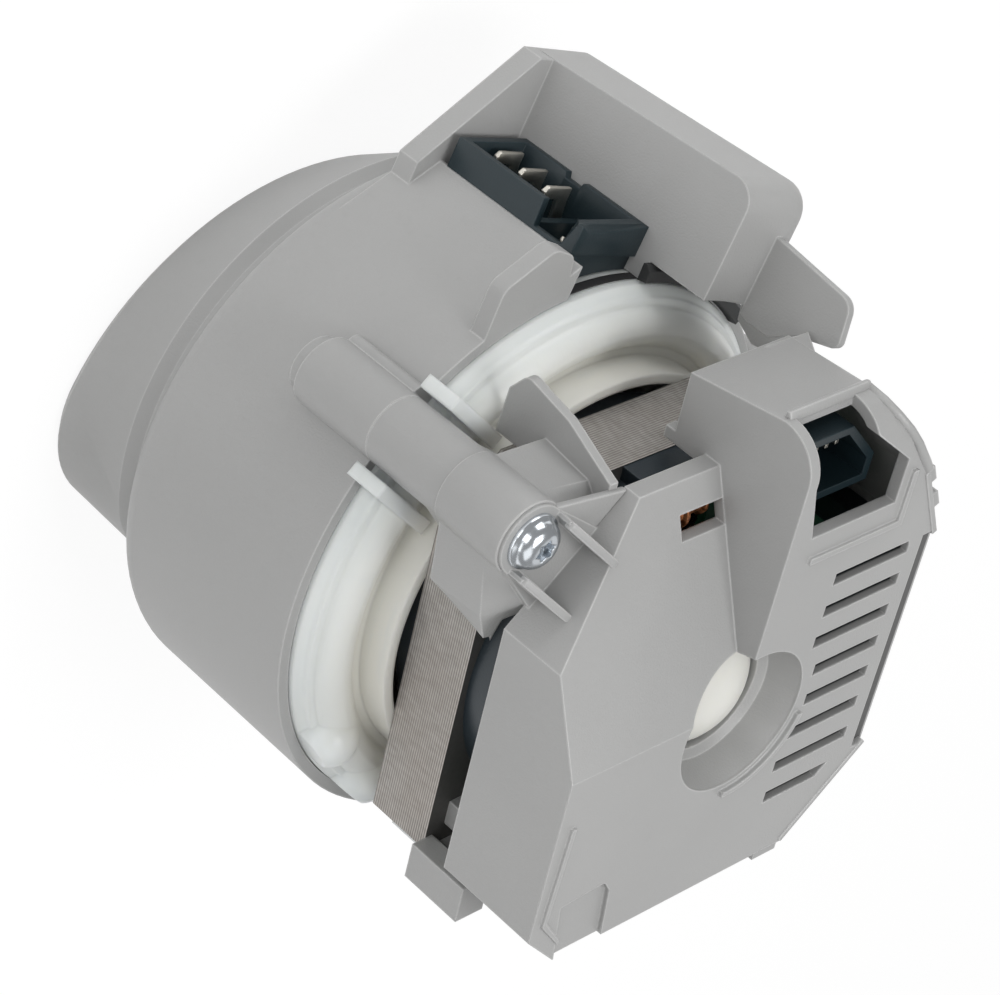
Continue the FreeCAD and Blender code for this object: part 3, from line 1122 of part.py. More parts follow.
def cover_arm(radius, angle):
    """Boss of a screw, the arm that carries it and the two ribs beside the screw head."""
    boss = disc(BOSS_R, BOSS_JOINT_Z, BOSS_REAR_Z, radius, 0)
    root, root_half = ARM_ROOT_R, ARM_ROOT_HALF
    web = prism([(root, -root_half), (radius, -BOSS_R), (radius, BOSS_R), (root, root_half)],
                ARM_FRONT_Z, BOSS_REAR_Z)
    skirt = Part.makeLoft([skirt_wire(*section) for section in SKIRT_SECTIONS], True, True)
    far = 2.0 * SKIRT_SECTIONS[0][1]
    (r0, z0), (r1, z1) = SKIRT_RISE
    skirt = skirt.cut(upright([(ARM_ROOT_R - 1.0, z1 - 1.0), (r1, z1 - 1.0), (r1, z1), (r0, z0),
                               (ARM_ROOT_R - 1.0, z0)], -far, 2.0 * far))
    foot = BOSS_REAR_Z - 1.0
    rib_z = BOSS_REAR_Z + ARM_RIB_HEIGHT
    profile = [(ARM_RIB_ROOT_R, foot), (radius - 1.0, foot), (radius - 1.0, rib_z - ARM_RIB_FALL),
               (ARM_RIB_ROOT_R, rib_z)]
    ribs = [upright(profile, ARM_RIB_OFFSET, ARM_RIB), upright(profile, -ARM_RIB_OFFSET - ARM_RIB, ARM_RIB)]
    arm = turned(joined([boss, web, skirt] + ribs), angle)
    stack = prism(inset(stack_outline(), -STACK_PLAY), FLANGE_FLOOR_Z, STACK_REAR_Z)
    return arm.cut(cover_room()).cut(stack)


def recess_form(grow, top):
    """Conical space round the cap of the rotor can, grown by this much."""
    foot = PLATE_Z - RECESS_DEPTH
    return spin([(0, top), (RECESS_R + grow, top), (RECESS_R + grow, PLATE_Z - 0.5),
                 (CAP_HOLE_R + 1.5 + grow, foot + 1.0), (CAP_HOLE_R + grow, foot - grow), (0, foot - grow)])


def recess_wall():
    return recess_form(RECESS_WALL, PLATE_Z).cut(above_slope(STEP_X, 0.0))


def recess_rib():
    """Thin raised rib along the low right side of the recess."""
    outer = RECESS_R + RECESS_WALL
    rib = ring(outer, outer - RECESS_RIB, PLATE_Z - 0.5, PLATE_Z + RECESS_RIB)
    return rib.common(block(RECESS_RIB_X, outer, -outer, RECESS_RIB_Y, PLATE_Z - 0.5, PLATE_Z + RECESS_RIB))


def corner_bead():
    """Raised line that follows the left edge of the plate past the pocket."""
    (x0, y0), (x1, y1), (x2, y2) = BEAD
    width = BEAD_WIDTH
    line = [(x0, y0), (x1, y1), (x2, y2), (x2 + width, y2), (x1 + width, y1 + width / 2.0), (x0 + width, y0)]
    return prism(line, PLATE_Z - 0.5, PLATE_Z + RIM_RIB / 2.0)


def recess_room():
    return recess_form(0.0, PLATE_Z + 2.0 * RECESS_RIB).fuse(disc(CAP_HOLE_R, CAN_REAR_Z, PLATE_Z))


def socket_opening():
    """Opening for the motor connector, through the plate and round the edge of the top wall."""
    right = SOCKET_X[1] + 1.5
    left = STEP_X + 2.2
    corner_x, corner_y = SOCKET_X[1] - SOCKET_CUT, SOCKET_Y[1] - SOCKET_CUT
    far = BOX_HIGH + 2.0
    return prism([(left + 3.0, OPENING_LOW_Y), (right, OPENING_LOW_Y), (right, corner_y + 2.0),
                  (corner_x + 0.5, SOCKET_Y[1] + 1.0), (corner_x, far), (left, far), (left, SOCKET_Y[1] - 4.0)],
                 OPENING_Z, PLATE_Z + 2.0)


def socket_ridge():
    """Low ridge on the plate below the socket opening and beside it."""
    low = OPENING_LOW_Y - 5.4
    z0, z1 = PLATE_Z - 1.0, PLATE_Z + RIM_RIB / 2.0
    right = SOCKET_X[1] + 3.4
    return [block(STEP_X + 6.0, right + RIM_RIB, low, low + RIM_RIB, z0, z1),
            block(right, right + RIM_RIB, low, OPENING_LOW_Y + 6.0, z0, z1)]


def cover_fin():
    """Upright fin at the end of the sloping face, beside the screw arm."""
    return side_prism(FIN_FORM, FIN_X - FIN_WALL / 2.0, FIN_X + FIN_WALL / 2.0).cut(cover_room())


def cover_foot():
    """Hollow leg over the low left corner, standing on the lamination stack."""
    x0, x1, y0, y1 = FOOT_BOX
    wall = FOOT_WALL
    leg = block(x0, x1, y0, y1, COVER_OPEN_Z, FOOT_REAR_Z)
    leg = leg.cut(block(x0 + wall, x1, y0 + wall, y1 - wall, COVER_OPEN_Z, FOOT_REAR_Z - wall))
    return leg.cut(cover_room())


def latch_tabs():
    """Latch tabs on the slanted right edge and on the low wall."""
    lean = math.degrees(math.atan2(BOX_CORNERS[1][1] - BOX_CORNERS[0][1],
                                   BOX_CORNERS[1][0] - BOX_CORNERS[0][0])) - 90.0
    tabs = []
    z = PLATE_Z - 2.0 * TAB_THICK
    for x, y in TAB_PLACES:
        tab = block(-COVER_WALL, TAB_REACH, -TAB_WIDTH / 2.0, TAB_WIDTH / 2.0, z, z + TAB_THICK)
        tab = turned(tab, lean)
        tab.translate(Vec(x, y, 0))
        tabs.append(tab)
    low_z = PLATE_Z - 2.0 * TAB_THICK
    tabs.append(block(LOW_TAB_X[0], LOW_TAB_X[1], LOW_TAB_Y, COVER_LOW + 1.0, low_z, low_z + TAB_THICK))
    return tabs


# Screws

def cover_screws():
    """Pan head screws that join the cover, across the flange, to the housing."""
    rim = SCREW_HEAD_HEIGHT - SCREW_DOME
    end = BOSS_REAR_Z + SCREW_HEAD_HEIGHT
    profile = [Vec(0, 0, BOSS_REAR_Z - SCREW_REACH), Vec(SCREW_SHANK_R, 0, BOSS_REAR_Z - SCREW_REACH),
               Vec(SCREW_SHANK_R, 0, BOSS_REAR_Z), Vec(SCREW_HEAD_R, 0, BOSS_REAR_Z),
               Vec(SCREW_HEAD_R, 0, BOSS_REAR_Z + rim)]
    edges = [Part.makeLine(profile[i], profile[i + 1]) for i in range(len(profile) - 1)]
    edges.append(dome_arc(SCREW_HEAD_R, BOSS_REAR_Z + rim, end))
    edges.append(Part.makeLine(Vec(0, 0, end), profile[0]))
    screws = []
    for radius, angle in SCREW_PLACES:
        screw = spin_edges(edges)
        screw.translate(Vec(*polar(radius, angle), 0))
        screws.append(screw)
    return Part.makeCompound(screws)


PARTS = (
    pump_housing, outlet_seal, suction_tube, heater_tube, heater_tracks, heater_seal_front, heater_seal_rear,
    heater_connector, heater_terminals, temperature_sensor, impeller, impeller_shroud, diffuser,
    rotor_shaft, front_bearing, rear_bearing, thrust_washer, rotor_core, rotor_magnet,
    motor_flange, flange_seal, stator_core, insulator_front, insulator_rear, stator_coils, circuit_board, board_capacitors,
    board_chips, board_choke, motor_connector, connector_pins, rear_cover, cover_screws,
)

os.makedirs("parts", exist_ok=True)
for make in PARTS:
    shape = make()
    shape.exportStep("parts/" + make.__name__ + ".step")
    print(make.__name__, "valid", shape.isValid(), "solids", len(shape.Solids),
          "volume", round(shape.Volume))
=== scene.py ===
# %% [markdown]
# A heater pump from a dishwasher: a grey moulded drum with a round suction collar and a square
# outlet hood, a white flange, a stack of steel laminations and a grey rear cover with vents.
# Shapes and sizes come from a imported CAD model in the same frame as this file, so nothing has to
# be fitted. Here its parts get their finishes, and the fine parts are modelled and added.

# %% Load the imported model
import math
import bmesh
import bpy
from mathutils import Matrix, Vector


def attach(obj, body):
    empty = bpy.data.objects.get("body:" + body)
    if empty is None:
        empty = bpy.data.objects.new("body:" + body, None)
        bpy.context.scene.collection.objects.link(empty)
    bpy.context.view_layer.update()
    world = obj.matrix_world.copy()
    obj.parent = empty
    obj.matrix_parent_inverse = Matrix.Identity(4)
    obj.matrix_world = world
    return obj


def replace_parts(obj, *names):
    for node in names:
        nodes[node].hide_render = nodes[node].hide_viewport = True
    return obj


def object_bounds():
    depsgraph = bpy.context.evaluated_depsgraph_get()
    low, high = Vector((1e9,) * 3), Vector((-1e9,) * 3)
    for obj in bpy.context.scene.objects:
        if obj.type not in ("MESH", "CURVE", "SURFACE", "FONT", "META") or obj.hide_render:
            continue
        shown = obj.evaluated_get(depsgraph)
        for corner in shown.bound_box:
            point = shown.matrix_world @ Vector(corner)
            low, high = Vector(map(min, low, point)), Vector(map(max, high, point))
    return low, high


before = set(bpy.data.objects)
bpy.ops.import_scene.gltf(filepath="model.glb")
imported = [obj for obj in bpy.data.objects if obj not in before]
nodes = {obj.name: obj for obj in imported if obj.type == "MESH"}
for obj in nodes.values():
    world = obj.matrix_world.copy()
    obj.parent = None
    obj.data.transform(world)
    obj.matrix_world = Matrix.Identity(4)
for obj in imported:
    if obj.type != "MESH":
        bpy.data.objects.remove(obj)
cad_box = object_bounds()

BODY = "pump_body"    # what stands still; every new piece rides on it
MM = 0.001


def mm(*lengths):
    """Millimetres, given in metres."""
    return tuple(length * MM for length in lengths)


print("nodes:", len(nodes), "box:", cad_box)

# %% [markdown]
# The camera stands where the photographer's stood: above the connector side, turned so that the
# pump axis runs down to the right. Its three axes are written out, because the picture is tilted
# and no simple look-at would give that roll.

# %% Camera
CAMERA_PLACE = Vector((-0.36294, 0.33702, 0.35292))
CAMERA_RIGHT = Vector((0.72115, 0.19429, 0.66498))
CAMERA_UP = Vector((0.28424, 0.79238, -0.53976))
CAMERA_BACK = Vector((-0.63179, 0.57826, 0.51619))
SENSOR_WIDTH, FOCAL_LENGTH = 36.0, 118.8

lens = bpy.data.cameras.new("camera")
lens.sensor_fit = "HORIZONTAL"
lens.sensor_width = SENSOR_WIDTH
lens.lens = FOCAL_LENGTH
lens.clip_start = 0.01
camera = bpy.data.objects.new("camera", lens)
bpy.context.scene.collection.objects.link(camera)
axes = (CAMERA_RIGHT, CAMERA_UP, CAMERA_BACK)
rows = [[axis[row] for axis in axes] + [CAMERA_PLACE[row]] for row in range(3)]
camera.matrix_world = Matrix(rows + [[0, 0, 0, 1]])
bpy.context.scene.camera = camera
bpy.context.scene.view_settings.view_transform = "Standard"
print("camera:", round(CAMERA_PLACE.length, 3), "m away, focal length", FOCAL_LENGTH, "mm")

# %% [markdown]
# Shader maths reads best as sums. A Wire is one socket of a node tree, and adding or multiplying
# two of them adds the Math node that does it. The reflected forms let a number come first, as in
# 1.0 - mask.


# %% Wires
class Wire:
    def __init__(self, finish, socket):
        self.finish, self.socket = finish, socket

    def maths(self, operation, first, second):
        return self.finish.node("ShaderNodeMath", {0: first, 1: second}, operation=operation)

    def __add__(self, other):
        return self.maths("ADD", self, other)

    def __sub__(self, other):
        return self.maths("SUBTRACT", self, other)

    def __rsub__(self, other):
        return self.maths("SUBTRACT", other, self)

    def __mul__(self, other):
        return self.maths("MULTIPLY", self, other)

    __radd__ = __add__
    __rmul__ = __mul__


# %% [markdown]
# A Finish builds the nodes of one material, or of the world. Its node() method makes any node:
# settings first, then the values or wires of its sockets. Every pattern reads Object coordinates,
# so that it stays on its part. Small roundings come from a Bevel node, which bends the normals at
# an edge, and where the bent normal leaves the flat one the edge can also be painted paler, as a
# painted highlight.


# %% Finishes
EDGE_TURN = (0.004, 0.05)    # 1 - cosine between the two normals, where the edge begins and is full


def opaque(colour):
    """A colour with its alpha; a wire stays a wire."""
    return colour if isinstance(colour, Wire) else (*colour, 1.0)


class Finish:
    def __init__(self, owner):
        self.owner = owner
        owner.use_nodes = True
        self.tree = owner.node_tree
        self.tree.nodes.clear()

    def node(self, kind, sockets=None, out=0, **settings):
        """Any node, given back as the wire of one of its outputs."""
        made = self.tree.nodes.new(kind)
        for key, value in settings.items():
            setattr(made, key, value)
        for key, value in (sockets or {}).items():
            if isinstance(value, Wire):
                self.tree.links.new(value.socket, made.inputs[key])
            else:
                made.inputs[key].default_value = value
        return Wire(self, made.outputs[out])

    def place(self, scale=(1, 1, 1)):
        here = self.node("ShaderNodeTexCoord", out="Object")
        return self.node("ShaderNodeMapping", {0: here, "Scale": scale})

    def spot(self):
        """The three object coordinates of the point, each a wire."""
        here = self.node("ShaderNodeTexCoord", out="Object")
        return [self.node("ShaderNodeSeparateXYZ", {0: here}, out=axis) for axis in "XYZ"]

    def noise(self, scale, detail=2.0, where=None):
        sockets = {"Vector": where or self.place(), "Scale": scale, "Detail": detail}
        return self.node("ShaderNodeTexNoise", sockets)

    def mix(self, factor, first, second):
        """One colour over another. A Mix node takes them in sockets 6 and 7, and 2 comes out."""
        sockets = {0: factor, 6: opaque(first), 7: opaque(second)}
        return self.node("ShaderNodeMix", sockets, out=2, data_type="RGBA")

    def step(self, value, low, high):
        """0 below the low value, 1 above the high one, and a ramp between."""
        return self.node("ShaderNodeMapRange", {0: value, 1: low, 2: high, 3: 0.0, 4: 1.0})

    def round_edges(self, radius):
        return self.node("ShaderNodeBevel", {"Radius": radius}, samples=6)

    # The mask of the painted edge highlight: where the bent normal leaves the flat one.
    def painted_highlight_mask(self, soft):
        flat = self.node("ShaderNodeNewGeometry", out="Normal")
        cosine = self.node("ShaderNodeVectorMath", {0: soft, 1: flat}, out="Value",
                           operation="DOT_PRODUCT")
        return self.step(1.0 - cosine, *EDGE_TURN)

    def bump(self, height, distance, normal=None):
        sockets = {"Height": height, "Distance": distance}
        if normal:
            sockets["Normal"] = normal
        return self.node("ShaderNodeBump", sockets)

    def surface(self, colour, rough, normal, **fixed):
        """Close the material; what is fixed is the same all over the part."""
        sockets = {"Base Color": opaque(colour), "Roughness": rough, "Normal": normal}
        sockets.update({key.replace("_", " "): value for key, value in fixed.items()})
        self.output(self.node("ShaderNodeBsdfPrincipled", sockets), "ShaderNodeOutputMaterial")
        return self.owner

    def output(self, shader, kind):
        end = self.tree.nodes.new(kind)
        self.tree.links.new(shader.socket, end.inputs[0])


def new_finish(name):
    return Finish(bpy.data.materials.new(name))


def toned(colour, factor):
    """A colour made paler or deeper."""
    return tuple(min(1.0, part * factor) for part in colour)


def dress(material, *names):
    """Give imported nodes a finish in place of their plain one."""
    for name in names:
        mesh = nodes[name].data
        mesh.materials.clear()
        mesh.materials.append(material)
    print(material.name, "on", *names)


# %% [markdown]
# Housing and rear cover are injection moulded in mineral-filled plastic: mid grey, with a very
# fine eroded texture and faint flow clouds, and their edges painted paler as a painted highlight.
# Three noises make the texture and clouds, one for each size of mark, and the roughness drifts
# with the largest.

# %% Moulded plastic
CLOUDS, SPECKS, GRAIN = 14.0, 420.0, 2600.0    # scales of the three noises
SPECK_SHARE = 0.25
NO_LIGHT = (0.012, 0.016, 0.02)


def moulded(name, colour, low_rough=0.42, texture=0.00006, edge=0.0005, painted_highlight=0.7,
            cloud=0.05, shade=None):
    finish = new_finish(name)
    soft = finish.round_edges(edge)
    tone = finish.noise(CLOUDS, 3.0)
    deep, pale = toned(colour, 1.0 - cloud), toned(colour, 1.0 + cloud)
    base = finish.mix(finish.step(tone, 0.35, 0.65), deep, pale)
    specks = finish.step(finish.noise(SPECKS), 0.62, 0.8)
    base = finish.mix(specks * SPECK_SHARE, base, toned(colour, 0.9))
    # Painted highlight: the colour is made paler at the edges, by the mask and its level.
    base = finish.mix(finish.painted_highlight_mask(soft) * painted_highlight, base, toned(colour, 1.75))
    # Painted shade: where the mask is full, the colour is painted almost black.
    if shade:
        base = finish.mix(shade(finish), base, NO_LIGHT)
    rough = finish.step(tone, 0.2, 0.8) * 0.1 + low_rough
    return finish.surface(base, rough, finish.bump(finish.noise(GRAIN), texture, soft))


# %% [markdown]
# Below their lip the walls of the vents lie in deep shade, as no light comes there, and that
# shade is painted almost black into the cover's colour. Six soft steps on the object coordinates
# fence off that region of the cover, and leave out the wall of the round recess beside it.

# %% Painted shade inside the vents
VENT_LEFT, VENT_RIGHT = (0.0125, 0.0127), (0.0345, 0.0343)
VENT_LOW, VENT_HIGH = (-0.0265, -0.0263), (0.0275, 0.0273)
VENT_LIP = (0.11675, 0.1164)
RECESS_SQUARED = (0.000272, 0.000276)    # squares of the recess's radius and a little more


def painted_vent_shade(finish):
    x, y, z = finish.spot()
    side = finish.step(x, *VENT_LEFT) * finish.step(x, *VENT_RIGHT)
    past_recess = finish.step(x * x + y * y, *RECESS_SQUARED)
    height = finish.step(y, *VENT_LOW) * finish.step(y, *VENT_HIGH)
    return side * past_recess * height * finish.step(z, *VENT_LIP)


# %% [markdown]
# One recipe gives all the moulded parts. The grey is the housing's own, a little glossier on the
# cover. The connectors are blue-black with a finer texture, and the wheel of the pump is unfilled.

# %% Moulded parts
GREY = (0.398, 0.398, 0.394)
grey_plastic = moulded("grey_moulding", GREY, 0.4)
cover_plastic = moulded("grey_cover", GREY, 0.34, shade=painted_vent_shade)
black_plastic = moulded("black_moulding", (0.026, 0.037, 0.046), 0.3, texture=0.00003,
                        edge=0.0004, painted_highlight=0.6, cloud=0.1)
connector_plastic = moulded("connector_moulding", (0.012, 0.024, 0.03), 0.35, texture=0.00003,
                            edge=0.0003, painted_highlight=0.5, cloud=0.1)
white_part = moulded("natural_white", (0.7, 0.69, 0.63), 0.32, texture=0.00002,
                     painted_highlight=0.1, cloud=0.03)
dark_part = moulded("dark_moulding", (0.03, 0.032, 0.035), 0.4, texture=0.00005)
dress(grey_plastic, "pump_housing")
dress(cover_plastic, "rear_cover")
dress(connector_plastic, "motor_connector")
dress(black_plastic, "insulator_front", "insulator_rear", "temperature_sensor")
dress(white_part, "impeller", "impeller_shroud", "diffuser")
dress(dark_part, "suction_tube")

# %% [markdown]
# The motor flange is unfilled white plastic. Light goes a few millimetres into it, and subsurface
# scattering lets the light in. A tint that depends on the radius is painted over that: the bowl
# warm, as painted shade and a painted reflection of the copper coils, and the thin rim faintly
# blue, as painted light through its edge. Clouds and drawn streaks go over them.

# %% White flange
PAINTED_BOWL_SHADE, PAINTED_RIM_BLUE = (0.77, 0.758, 0.7), (0.745, 0.785, 0.785)
CLOUD_WHITE, STREAK_WHITE = (0.8, 0.812, 0.79), (0.66, 0.7, 0.7)
RIM_SQUARED = (0.0019, 0.00265)    # squares of the radii 44 and 51 mm, where the rim begins


def milky(name):
    finish = new_finish(name)
    soft = finish.round_edges(0.0008)
    x, y, z = finish.spot()
    # Painted shade, reflection and light: a warm bowl and a faintly blue rim, set by the radius.
    base = finish.mix(finish.step(x * x + y * y, *RIM_SQUARED), PAINTED_BOWL_SHADE, PAINTED_RIM_BLUE)
    clouds = finish.step(finish.noise(30.0, 3.0), 0.3, 0.7)
    base = finish.mix(clouds * 0.4, base, CLOUD_WHITE)
    streaks = finish.step(finish.noise(60.0, 4.0, finish.place((1.0, 1.0, 6.0))), 0.58, 0.75)
    base = finish.mix(streaks * 0.3, base, STREAK_WHITE)
    ripple = finish.bump(finish.noise(700.0), 0.00002, soft)
    return finish.surface(base, 0.3, ripple, Subsurface_Weight=0.45,
                          Subsurface_Radius=(0.006, 0.006, 0.0068), Subsurface_Scale=1.0)


dress(milky("milky_white"), "motor_flange")

# %% [markdown]
# The stator core is a pack of half-millimetre steel sheets. Seen from the side it is a striped
# band: each sheet is a bright line, each gap a dark one. A sine of the height along the axis makes
# the lines, and noise makes them uneven, with a little rust. The flat of the top sheet is painted
# dark, as painted shade under the cover.

# %% Laminations
SHEET = 0.5 * MM
SHEET_DULL, SHEET_BRIGHT, RUST = (0.42, 0.395, 0.37), (0.56, 0.54, 0.515), (0.43, 0.355, 0.3)
GAP, TOP_SHEET_SHADE = (0.17, 0.155, 0.14), (0.15, 0.145, 0.14)


def laminated(name):
    finish = new_finish(name)
    height = finish.spot()[2]
    wave = finish.node("ShaderNodeMath", {0: height * (2.0 * math.pi / SHEET)}, operation="SINE")
    gap = finish.step(wave, 0.1, 0.95)
    mottle = finish.noise(900.0, 3.0, finish.place((1.0, 1.0, 0.4)))
    base = finish.mix(finish.step(mottle, 0.3, 0.7), SHEET_DULL, SHEET_BRIGHT)
    base = finish.mix(finish.step(finish.noise(45.0, 3.0), 0.45, 0.8) * 0.35, base, RUST)
    base = finish.mix(gap * 0.62, base, GAP)
    # Painted shade: faces that look along the axis toward the cover are painted dark.
    normal = finish.node("ShaderNodeNewGeometry", out="Normal")
    facing = finish.node("ShaderNodeSeparateXYZ", {0: normal}, out="Z")
    base = finish.mix(finish.step(facing, 0.5, 0.9), base, TOP_SHEET_SHADE)
    rough = finish.step(mottle, 0.2, 0.8) * 0.2 + 0.45
    return finish.surface(base, rough, finish.bump(1.0 - gap, 0.00012), Metallic=0.35)


dress(laminated("lamination_edges"), "stator_core")

# %% [markdown]
# Bare metals: bright zinc on the screws, tin on the contacts, drawn stainless on the heater tube
# and shaft. All are one recipe with another colour and roughness. Stretched noise makes the fine
# scratches, and they change the colour, the gloss and the bump together, as real ones do.

# %% Metals
SMALL_EDGE = 0.0003    # rounding of small parts, in metres


def metal(name, colour, rough, scratch=(1.0, 1.0, 40.0)):
    finish = new_finish(name)
    soft = finish.round_edges(SMALL_EDGE)
    lines = finish.noise(120.0, 3.0, finish.place(scratch))
    base = finish.mix(finish.step(lines, 0.3, 0.7), toned(colour, 0.88), colour)
    gloss = finish.step(lines, 0.2, 0.8) * 0.12 + rough
    return finish.surface(base, gloss, finish.bump(lines, 0.00002, soft), Metallic=1.0)


zinc = metal("bright_zinc", (0.74, 0.78, 0.82), 0.14, (1.0, 1.0, 1.0))
tin = metal("tin_plate", (0.76, 0.73, 0.66), 0.28)
steel = metal("drawn_steel", (0.62, 0.61, 0.59), 0.3)
dress(zinc, "cover_screws")
dress(tin, "connector_pins")
dress(steel, "heater_tube", "rotor_shaft", "rotor_core")

# %% [markdown]
# What is left is small or hidden inside, such as seals, bearings, magnet, coils and board. One
# plain recipe with a fine grain serves them all. Enamelled wire has its own: fine ridges that run
# round each coil, dark between the turns.


# %% Seals, bearings, coils and board
def plain(name, colour, rough):
    finish = new_finish(name)
    soft = finish.round_edges(SMALL_EDGE)
    grain = finish.noise(300.0, 3.0)
    base = finish.mix(finish.step(grain, 0.3, 0.7), toned(colour, 0.88), colour)
    return finish.surface(base, rough, finish.bump(grain, 0.00003, soft))


def wound(name):
    finish = new_finish(name)
    ridges = finish.noise(1500.0, 1.0, finish.place((1.0, 1.0, 0.15)))
    base = finish.mix(finish.step(ridges, 0.35, 0.65), (0.2, 0.06, 0.02), (0.62, 0.27, 0.12))
    return finish.surface(base, 0.3, finish.bump(ridges, 0.0001), Metallic=0.8)


dress(plain("seal_rubber", (0.02, 0.02, 0.021), 0.6), "outlet_seal", "flange_seal",
      "heater_seal_front", "heater_seal_rear")
dress(plain("heater_enamel", (0.02, 0.06, 0.045), 0.25), "heater_tracks")
dress(plain("carbon", (0.03, 0.03, 0.032), 0.35), "front_bearing", "rear_bearing", "thrust_washer")
dress(plain("ferrite", (0.035, 0.035, 0.04), 0.5), "rotor_magnet", "board_choke")
dress(wound("enamelled_wire"), "stator_coils")
dress(plain("solder_resist", (0.02, 0.1, 0.05), 0.35), "circuit_board")
dress(plain("capacitor_sleeve", (0.03, 0.03, 0.05), 0.3), "board_capacitors")
dress(plain("chip_black", (0.02, 0.02, 0.02), 0.4), "board_chips")

# %% [markdown]
# New pieces are modelled the way one works by hand: a primitive is added, faces are picked by where
# they are and which way they look, and they are inset, extruded, moved and scaled. An operator acts
# on all that is selected, so a piece starts with nothing else selected, and picks its own faces.

# %% Start a piece and pick its parts
ALONG = 0.9    # a normal with more than this along an axis looks that way


def start(add, **settings):
    """Add a primitive with nothing else selected and open it in edit mode."""
    bpy.ops.object.select_all(action="DESELECT")
    add(**settings)
    bpy.ops.object.transform_apply(location=True, rotation=True, scale=True)
    bpy.ops.object.mode_set(mode="EDIT")
    bpy.ops.mesh.select_all(action="DESELECT")


def outline(points):
    """A flat face with these corners, in millimetres: a circle whose corners are moved there."""
    start(bpy.ops.mesh.primitive_circle_add, vertices=len(points), radius=MM, fill_type="NGON")
    mesh = bmesh.from_edit_mesh(bpy.context.object.data)
    for corner, place in zip(mesh.verts, points):
        corner.co = Vector(place) * MM
    mesh.normal_update()
    bmesh.update_edit_mesh(bpy.context.object.data)
    bpy.ops.mesh.select_all(action="SELECT")


def pick(test, parts="faces"):
    """Select what passes the test: a face by its middle and its normal, a vertex by its place."""
    bpy.ops.mesh.select_mode(type={"faces": "FACE", "verts": "VERT"}[parts])
    bpy.ops.mesh.select_all(action="DESELECT")
    mesh = bmesh.from_edit_mesh(bpy.context.object.data)
    for part in getattr(mesh, parts):
        shown = (part.calc_center_median(), part.normal) if parts == "faces" else (part.co,)
        part.select_set(test(*shown))
    mesh.select_flush_mode()
    bmesh.update_edit_mesh(bpy.context.object.data)


# %% [markdown]
# Shaping needs only a few moves: a cut through the whole piece gives corners where a wall should
# change, a shift moves some of them, a pull extrudes a face, and a squeeze scales it about a point.


# %% Shape a piece
def cut(axis, *places):
    """Bisect the whole piece across an axis (0, 1 or 2), at each place in millimetres."""
    across = [0.0, 0.0, 0.0]
    across[axis] = 1.0
    for place in places:
        bpy.ops.mesh.select_all(action="SELECT")
        bpy.ops.mesh.bisect(plane_co=[part * place * MM for part in across], plane_no=across)


def shift(test, x=0.0, y=0.0, z=0.0):
    """Move the vertices that pass the test; places and moves are in millimetres."""
    pick(lambda place: test(place / MM), "verts")
    bpy.ops.transform.translate(value=mm(x, y, z))


def pull(x=0.0, y=0.0, z=0.0):
    """Extrude what is selected by so many metres."""
    bpy.ops.mesh.extrude_region_move(TRANSFORM_OT_translate={"value": (x, y, z)})


def squeeze(x, y, z, middle=(0, 0, 0)):
    """Scale what is selected about a point."""
    bpy.ops.transform.resize(value=(x, y, z), center_override=middle)


# %% [markdown]
# A finished piece has its sharp edges rounded and the rest smoothed. Its object stays at the
# origin, with its place in its mesh, as a imported node's does: the patterns of its material then
# stay where they are on the piece.


# %% Close a piece and place it
def close(name, material, edge=0.0, angle=35.0):
    """Leave edit mode, round the sharp edges, smooth the rest and dress the piece."""
    bpy.ops.mesh.select_all(action="SELECT")
    bpy.ops.mesh.remove_doubles(threshold=0.000001)
    bpy.ops.mesh.normals_make_consistent(inside=False)
    bpy.ops.object.mode_set(mode="OBJECT")
    piece = bpy.context.object
    piece.name = piece.data.name = name
    if edge:
        rounding = piece.modifiers.new("edges", "BEVEL")
        rounding.width = edge
        rounding.segments = 2
        rounding.angle_limit = math.radians(40.0)
        bpy.ops.object.modifier_apply(modifier=rounding.name)
    bpy.ops.object.shade_smooth_by_angle(angle=math.radians(angle))
    piece.data.materials.clear()
    piece.data.materials.append(material)
    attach(piece, BODY)
    print(name, "faces:", len(piece.data.polygons))
    return piece


def moved(x, y, z, degrees=0.0):
    """A turn about the pump's axis and then a move, both in millimetres and degrees."""
    return Matrix.Translation(mm(x, y, z)) @ Matrix.Rotation(math.radians(degrees), 4, "Z")


def copy_to(piece, name, place):
    """A copy with its own mesh, put at its place in that mesh."""
    twin = piece.copy()
    twin.data = piece.data.copy()
    twin.name = twin.data.name = name
    bpy.context.scene.collection.objects.link(twin)
    twin.data.transform(place)
    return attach(twin, BODY)


# %% [markdown]
# Each cover screw is a pan head screw with a pressed washer and a six-lobed recess. A disc is
# raised to the washer and then, ring by ring, to the dome. The head of the real one is bright zinc
# and catches the lamps, so it needs a true dome and not only a bevel.

# %% Screw head
SEAT_Z = 98.0 * MM
HEAD_SIDES = 60
HEAD_RADIUS, WASHER_HEIGHT = 5.0, 0.5
TOUCH = 0.01    # how far, in millimetres, a face may be from a height and still count as there
DOME = ((4.9, 0.75), (4.45, 1.05), (4.35, 1.5), (4.1, 2.1), (3.65, 2.65), (3.05, 3.05),
        (2.45, 3.25), (2.1, 3.3))    # radius and height of each ring


def screw_head():
    radius, height = HEAD_RADIUS, WASHER_HEIGHT
    start(bpy.ops.mesh.primitive_cylinder_add, vertices=HEAD_SIDES, radius=radius * MM,
          depth=height * MM, location=(0, 0, SEAT_Z + 0.5 * height * MM))
    for ring_radius, ring_height in DOME:
        pick(lambda middle, normal: normal.z > ALONG and middle.z > SEAT_Z + (height - TOUCH) * MM)
        pull(z=(ring_height - height) * MM)
        scale = ring_radius / radius
        squeeze(scale, scale, 1.0, (0, 0, SEAT_Z))
        radius, height = ring_radius, ring_height


screw_head()

